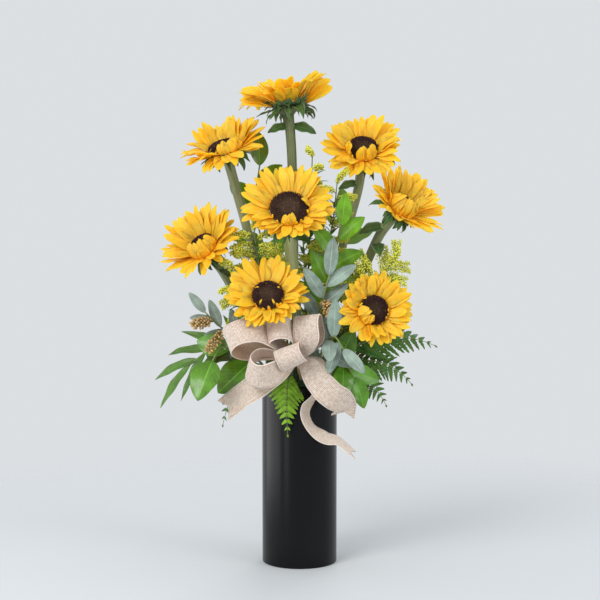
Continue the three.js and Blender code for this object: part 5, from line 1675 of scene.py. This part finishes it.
def plume_marks(made):
    """The corners of the solid plume: its tip, its rings and the studs between them."""
    marks = [arc(made, np.array([1.0]))[0]]
    for row, (t, radius) in enumerate(PLUME_RINGS):
        marks.append(plume_ring(made, t, radius, row / 2))
    for row, (low, high) in enumerate(zip(PLUME_RINGS, PLUME_RINGS[1:])):
        t, radius = (low[0] + high[0]) / 2, (low[1] + high[1]) / 2 + PLUME_STUD
        marks.append(plume_ring(made, t, radius, row / 2 + 0.75) + unit(made["along"]) * PLUME_AHEAD)
    return np.vstack(marks)


def add_raceme(body, made, florets, seed):
    """Adds a slender raceme: an arched twig with florets crowded round it, more of them on its upper side.
    They stand up to 3 mm off it in the middle and less towards its ends."""
    add_stalk(body, arc(made, np.linspace(0, 0.98, 8))[0], np.linspace(0.6, 0.3, 8), sides=4, slot=1)
    k = np.arange(florets)
    at = 0.1 + 0.9 * (k + 0.5) / florets
    place, way, normal, side = arc(made, at)
    angle = np.radians(GOLDEN_ANGLE * k + 50 * seed)
    spoke = unit(side * np.cos(angle)[:, None] + normal * (np.sin(angle) + 0.35)[:, None])
    grow = np.sin(np.pi * np.clip(0.16 + 0.8 * at, 0, 1)) ** 0.6
    off = (0.3 + 2.9 * draw(seed, k, 1)) * grow
    foot = place + (spoke + way * 0.5) * off[:, None]
    ahead = unit(spoke * 0.8 + way * (0.6 + 0.5 * draw(seed, k, 2))[:, None])
    add_buds(
        body, foot, ahead, 2.7 + 1.7 * draw(seed, k, 3), 0.86 + 0.46 * draw(seed, k, 4), sides=4,
        shape=((0.35, 0.7), (0.8, 1.0)), tint=draw(seed, k, 5),
    )


def build_plume(body, made, seed):
    """Adds a plume: a main raceme and four lesser ones that leave it to the left and right, at a slant."""
    add_raceme(body, made, int(14 + 1.2 * made["length"]), seed)
    for sign, at, kept in ((-1, 0.1, 0.74), (1, 0.2, 0.7), (-1, 0.4, 0.5), (1, 0.52, 0.42)):
        place, way, normal, side = arc(made, at)
        lean = np.radians(17 + 10 * draw(seed, sign + 1 + 10 * at, 6))
        lesser = dict(
            root=place, along=way * np.cos(lean) + side * sign * np.sin(lean), up=normal,
            length=made["length"] * kept,
        )
        add_raceme(body, lesser, int(8 + 1.0 * lesser["length"]), seed + 0.3 * sign + at)


class ARRANGEMENT_OT_goldenrod(bpy.types.Operator):
    """Builds the goldenrod, floret by floret"""

    bl_idname = "arrangement.goldenrod"
    bl_label = "Goldenrod"

    def execute(self, context):
        settings = context.scene.arrangement_foliage
        for seed, plant in enumerate(GOLDENROD):
            path = stem_path(plant)
            body = Body()
            smooth = smooth_stem(path, 24)
            add_stalk(body, smooth, np.linspace(1.7, 0.8, 25), sides=8, slot=1)
            for index in range(plant["plumes"]):
                make = lambda way: solid_plume(plant, path, index, way)
                made = chosen(plant["name"], PLUME_WAYS, make, plume_marks)
                if made:
                    build_plume(body, made, 100 * seed + index)
            self.add_leaves(body, path, plant, seed, settings.leaf_sheet / MM)
            skins = [
                bud_skin("goldenrod_skin", settings.buds), bud_skin("twig_skin", settings.twig),
                leaf_skin("goldenrod_leaf_skin", settings.blade, 0.5, 0.4, 0.4),
            ]
            dress(body.build(f"{plant['name']}_plumes", skins), plant["name"])
        return {"FINISHED"}

    def add_leaves(self, body, path, plant, seed, sheet):
        """Narrow leaves of up to 31 mm that leave the stem all the way up."""
        k = np.arange(NARROW_LEAVES)
        at = plant["bare"] - 0.12 + (1.05 - plant["bare"]) * k / NARROW_LEAVES
        place = np.array([on_path(path, a) for a in at])
        way = np.array([path_way(path, a) for a in at])
        side = unit(np.cross(way, np.array([0.2, 1.0, 0.1])))
        out = turned(side, way, np.radians(GOLDEN_ANGLE * k + 40 * seed))
        along = way * 0.75 + out * (0.6 + 0.3 * draw(seed, k, 7))[:, None]
        add_blades(
            body, place, along, way - out * 0.5, 19 + 12 * draw(seed, k, 8), 4.8 + 1.6 * draw(seed, k, 9),
            0.5 + 0.5 * draw(seed, k, 10), bract_outline, rows=7, sides=6, fold=0.2, thick=sheet,
            twist=0.5 * spread(seed, k, 11), tint=draw(seed, k, 12), slot=2,
        )


# The bow.

def add_ribbon(body, middle, across, normal, wide, thread_run, notch=0.0, pleat=0.0, phase=0.0, inner=0.0):
    """Adds a strip of ribbon. At each row it reaches `wide` / 2 across to both sides of the middle. Its faces
    lie half its thickness along the normal, plus a hem ridge near each edge, soft creases, and pleats where
    it is gathered. `inner` is how much painted shade darkens its lower face, the inside of a loop. An end
    notch cuts it to two points: rows near the end move ahead by notch |s|."""
    rows = len(middle)
    s = np.linspace(-1, 1, 21)
    s = np.concatenate([s, s[::-1]])
    face = np.repeat([1.0, -1.0], 21)
    rim = np.abs(s) > 0.999
    run = run_along(middle)
    hem = 0.28 * np.exp(-(((np.abs(s) - 0.88) / 0.05) ** 2))
    crease = 0.5 * np.sin(run[:, None] / 9 + 2.1 * s + phase) * np.sin(run[:, None] / 23 + phase)
    fold = np.asarray(pleat)[..., None] * np.cos(3.5 * np.pi * s) * np.ones((rows, 1))
    high = face * (RIBBON_THICK / 2 * np.where(rim, 0.35, 1) + hem) + crease + fold
    sway = 0.35 * np.sin(run[:, None] / 6 + 4 * phase) * (np.abs(s) > 0.9)
    points = middle[:, None] + across[:, None] * (s * (wide[:, None] / 2) + sway * s)[..., None]
    points = points + normal[:, None] * high[..., None]
    if notch:
        way = unit(middle[-1] - middle[-2])
        near = np.clip(1 - (run[-1] - run) / 26, 0, 1)[:, None] ** 1.5
        points = points + way * (near * notch * np.abs(s))[..., None]
    uv = np.stack(np.broadcast_arrays((s + 1) / 2, thread_run + run[:, None] / RIBBON_STEP), axis=-1)
    body.tubes(points[None], points[:1, [0, 20]].mean(axis=1), points[-1:, [10, 31]].mean(axis=1), uv[None],
               0.5, (face < 0) * inner)
    return run[-1]


def loop_rows(loop, width, steps=72):
    """A band round an oval that is pulled together at the knot."""
    middle, across, knot = np.array(loop["centre"], float), unit(loop["axis"]), np.array(KNOT, float)
    to_knot = knot - middle
    inward = unit(to_knot - across * np.dot(to_knot, across))
    other = np.cross(across, inward)
    turn = np.linspace(0, 2 * np.pi, steps + 1)[:, None]
    pull = np.maximum(0, np.cos(turn)) ** 2.5
    oval = inward * loop["reach"] * np.cos(turn) + other * loop["deep"] * np.sin(turn)
    rims = [
        (middle + oval * (1 - sign * loop["flare"])) * (1 - pull) + knot * pull
        + across * sign * width / 2 * (1 - 0.78 * pull)
        for sign in (-1, 1)
    ]
    normal = unit(inward * np.cos(turn) / loop["reach"] + other * np.sin(turn) / loop["deep"])
    wide = np.linalg.norm(rims[1] - rims[0], axis=-1)
    return (rims[0] + rims[1]) / 2, unit(rims[1] - rims[0]), normal, wide, pull[:, 0]


def tail_rows(tail, width, steps=80):
    """A strip along the tail's points."""
    t = np.linspace(0, 1, steps + 1)
    points = [p for p, _, _ in tail]
    middle = catmull_rom(points, t)
    after, before = np.minimum(t + SMALL_STEP, 1), np.maximum(t - SMALL_STEP, 0)
    way = unit(catmull_rom(points, after) - catmull_rom(points, before))
    across = catmull_rom([unit(a) for _, a, _ in tail], t)
    across = unit(across - way * np.sum(across * way, axis=-1, keepdims=True))
    spread_ = catmull_rom([(w, 0, 0) for _, _, w in tail], t)[:, 0]
    return middle, across, unit(np.cross(across, way)), width * spread_, np.clip(1 - t * 5, 0, 1)


class ARRANGEMENT_OT_bow(bpy.types.Operator):
    """Builds the burlap bow: five loops, three tails and the wrap round the knot"""

    bl_idname = "arrangement.bow"
    bl_label = "Bow"

    def execute(self, context):
        settings = context.scene.arrangement_bow
        width = settings.width / MM
        body = Body()
        run = 0.0
        for index, loop in enumerate(LOOPS):
            middle, across, normal, wide, pull = loop_rows(loop, width)
            # A loop's lower faces are its inside, and inner=1.0 gives them painted shade.
            run += add_ribbon(
                body, middle, across, normal, wide, run / RIBBON_STEP, pleat=1.5 * pull ** 2,
                phase=1.7 * index, inner=1.0,
            )
        for index, tail in enumerate(TAILS):
            middle, across, normal, wide, pull = tail_rows(tail, width)
            run += add_ribbon(
                body, middle, across, normal, wide, run / RIBBON_STEP, notch=NOTCH, pleat=1.2 * pull,
                phase=0.9 + 1.3 * index,
            )
        turn = np.linspace(0, 2 * np.pi, 49)[:, None]
        spoke = np.array([0, 1.0, 0]) * np.cos(turn) + UP * np.sin(turn)
        middle = np.array(KNOT, float) + spoke * KNOT_RADIUS
        across = np.broadcast_to(unit([1, 0, 0.25]), middle.shape)
        run += add_ribbon(body, middle, across, spoke, np.full(49, 15.0), run / RIBBON_STEP, pleat=0.8)
        bow = body.build("bow_cloth", [burlap(settings)])
        dress(bow, "bow_ribbon")
        return {"FINISHED"}


# The stage.

class ARRANGEMENT_OT_stage(bpy.types.Operator):
    """Builds the floor, the lights and the camera"""

    bl_idname = "arrangement.stage"
    bl_label = "Stage"

    def execute(self, context):
        settings = context.scene.arrangement_stage
        scene = context.scene
        reach = 3.0
        mesh = bpy.data.meshes.new("floor")
        corners = [(-reach, -reach, 0), (reach, -reach, 0), (reach, reach, 0), (-reach, reach, 0)]
        mesh.from_pydata(corners, [], [(0, 1, 2, 3)])
        mesh.materials.append(floor_paint(settings))
        floor = bpy.data.objects.new("floor", mesh)
        scene.collection.objects.link(floor)

        world = bpy.data.worlds.new("studio")
        world.use_nodes = True
        back = world.node_tree.nodes["Background"]
        back.inputs["Color"].default_value = (*settings.sky, 1.0)
        back.inputs["Strength"].default_value = settings.sky_strength
        scene.world = world

        self.lamp(scene, "key", (-1.7, -2.3, 2.3), (0, 0, 0.42), settings.key, 1.6, 1.6)
        self.lamp(scene, "fill", (2.3, -1.6, 1.2), (0, 0, 0.38), settings.fill, 1.0, 1.8)
        self.lamp(scene, "back", (0.6, 2.4, 2.0), (0, 0, 0.45), settings.fill, 1.6, 1.0)
        self.lamp(scene, "strip", (-0.66, -0.80, 0.35), (0, 0, 0.35), settings.strip, 0.24, 1.1)
        self.lamp(scene, "card", (-0.62, -0.02, 0.12), (0, 0, 0.12), settings.card, 0.7, 0.5)

        camera = bpy.data.objects.new("camera", bpy.data.cameras.new("camera"))
        camera.data.lens = settings.lens
        camera.data.sensor_width = 36.0
        camera.data.clip_end = 200.0
        camera.location = (0.0007, -2.2713, 0.5692)
        camera.rotation_euler = (np.radians(85), 0, 0)
        scene.collection.objects.link(camera)
        scene.camera = camera
        scene.view_settings.view_transform = "Standard"
        return {"FINISHED"}

    def lamp(self, scene, name, place, aim, power, wide, high):
        """A soft rectangular light that looks at its aim."""
        light = bpy.data.lights.new(name, "AREA")
        light.shape, light.size, light.size_y, light.energy = "RECTANGLE", wide, high, power
        lamp = bpy.data.objects.new(name, light)
        lamp.location = place
        lamp.visible_camera = False
        lamp.visible_diffuse = name != "card"
        look = np.array(aim) - np.array(place)
        lamp.rotation_euler = (
            np.arctan2(np.hypot(look[0], look[1]), -look[2]), 0, np.arctan2(-look[0], look[1])
        )
        scene.collection.objects.link(lamp)


class ARRANGEMENT_PT_panel(bpy.types.Panel):
    """Lists the arrangement's settings and pieces"""

    bl_idname = "ARRANGEMENT_PT_panel"
    bl_label = "Sunflower arrangement"
    bl_space_type = "VIEW_3D"
    bl_region_type = "UI"
    bl_category = "Arrangement"

    def draw(self, context):
        for operator in OPERATORS:
            self.layout.operator(operator.bl_idname)
        for name, group in SETTINGS.items():
            box = self.layout.box()
            for key in group.__annotations__:
                box.prop(getattr(context.scene, name), key)


SETTINGS = {
    "arrangement_vase": ArrangementVase,
    "arrangement_flowers": ArrangementFlowers,
    "arrangement_foliage": ArrangementFoliage,
    "arrangement_bow": ArrangementBow,
    "arrangement_stage": ArrangementStage,
}
OPERATORS = [
    ARRANGEMENT_OT_stage,
    ARRANGEMENT_OT_vase,
    ARRANGEMENT_OT_petals,
    ARRANGEMENT_OT_discs,
    ARRANGEMENT_OT_stems,
    ARRANGEMENT_OT_sprays,
    ARRANGEMENT_OT_seeds,
    ARRANGEMENT_OT_ferns,
    ARRANGEMENT_OT_goldenrod,
    ARRANGEMENT_OT_bow,
]


def register():
    for group in SETTINGS.values():
        bpy.utils.register_class(group)
    for operator in OPERATORS:
        bpy.utils.register_class(operator)
    bpy.utils.register_class(ARRANGEMENT_PT_panel)
    for name, group in SETTINGS.items():
        setattr(bpy.types.Scene, name, PointerProperty(type=group))


def unregister():
    for name in SETTINGS:
        delattr(bpy.types.Scene, name)
    for made in (ARRANGEMENT_PT_panel, *reversed(OPERATORS), *SETTINGS.values()):
        bpy.utils.unregister_class(made)


def main():
    register()
    bpy.ops.arrangement.stage()
    bpy.ops.arrangement.vase()
    bpy.ops.arrangement.petals()
    bpy.ops.arrangement.discs()
    bpy.ops.arrangement.stems()
    bpy.ops.arrangement.sprays()
    bpy.ops.arrangement.seeds()
    bpy.ops.arrangement.ferns()
    bpy.ops.arrangement.goldenrod()
    bpy.ops.arrangement.bow()


if __name__ == "__main__":
    main()
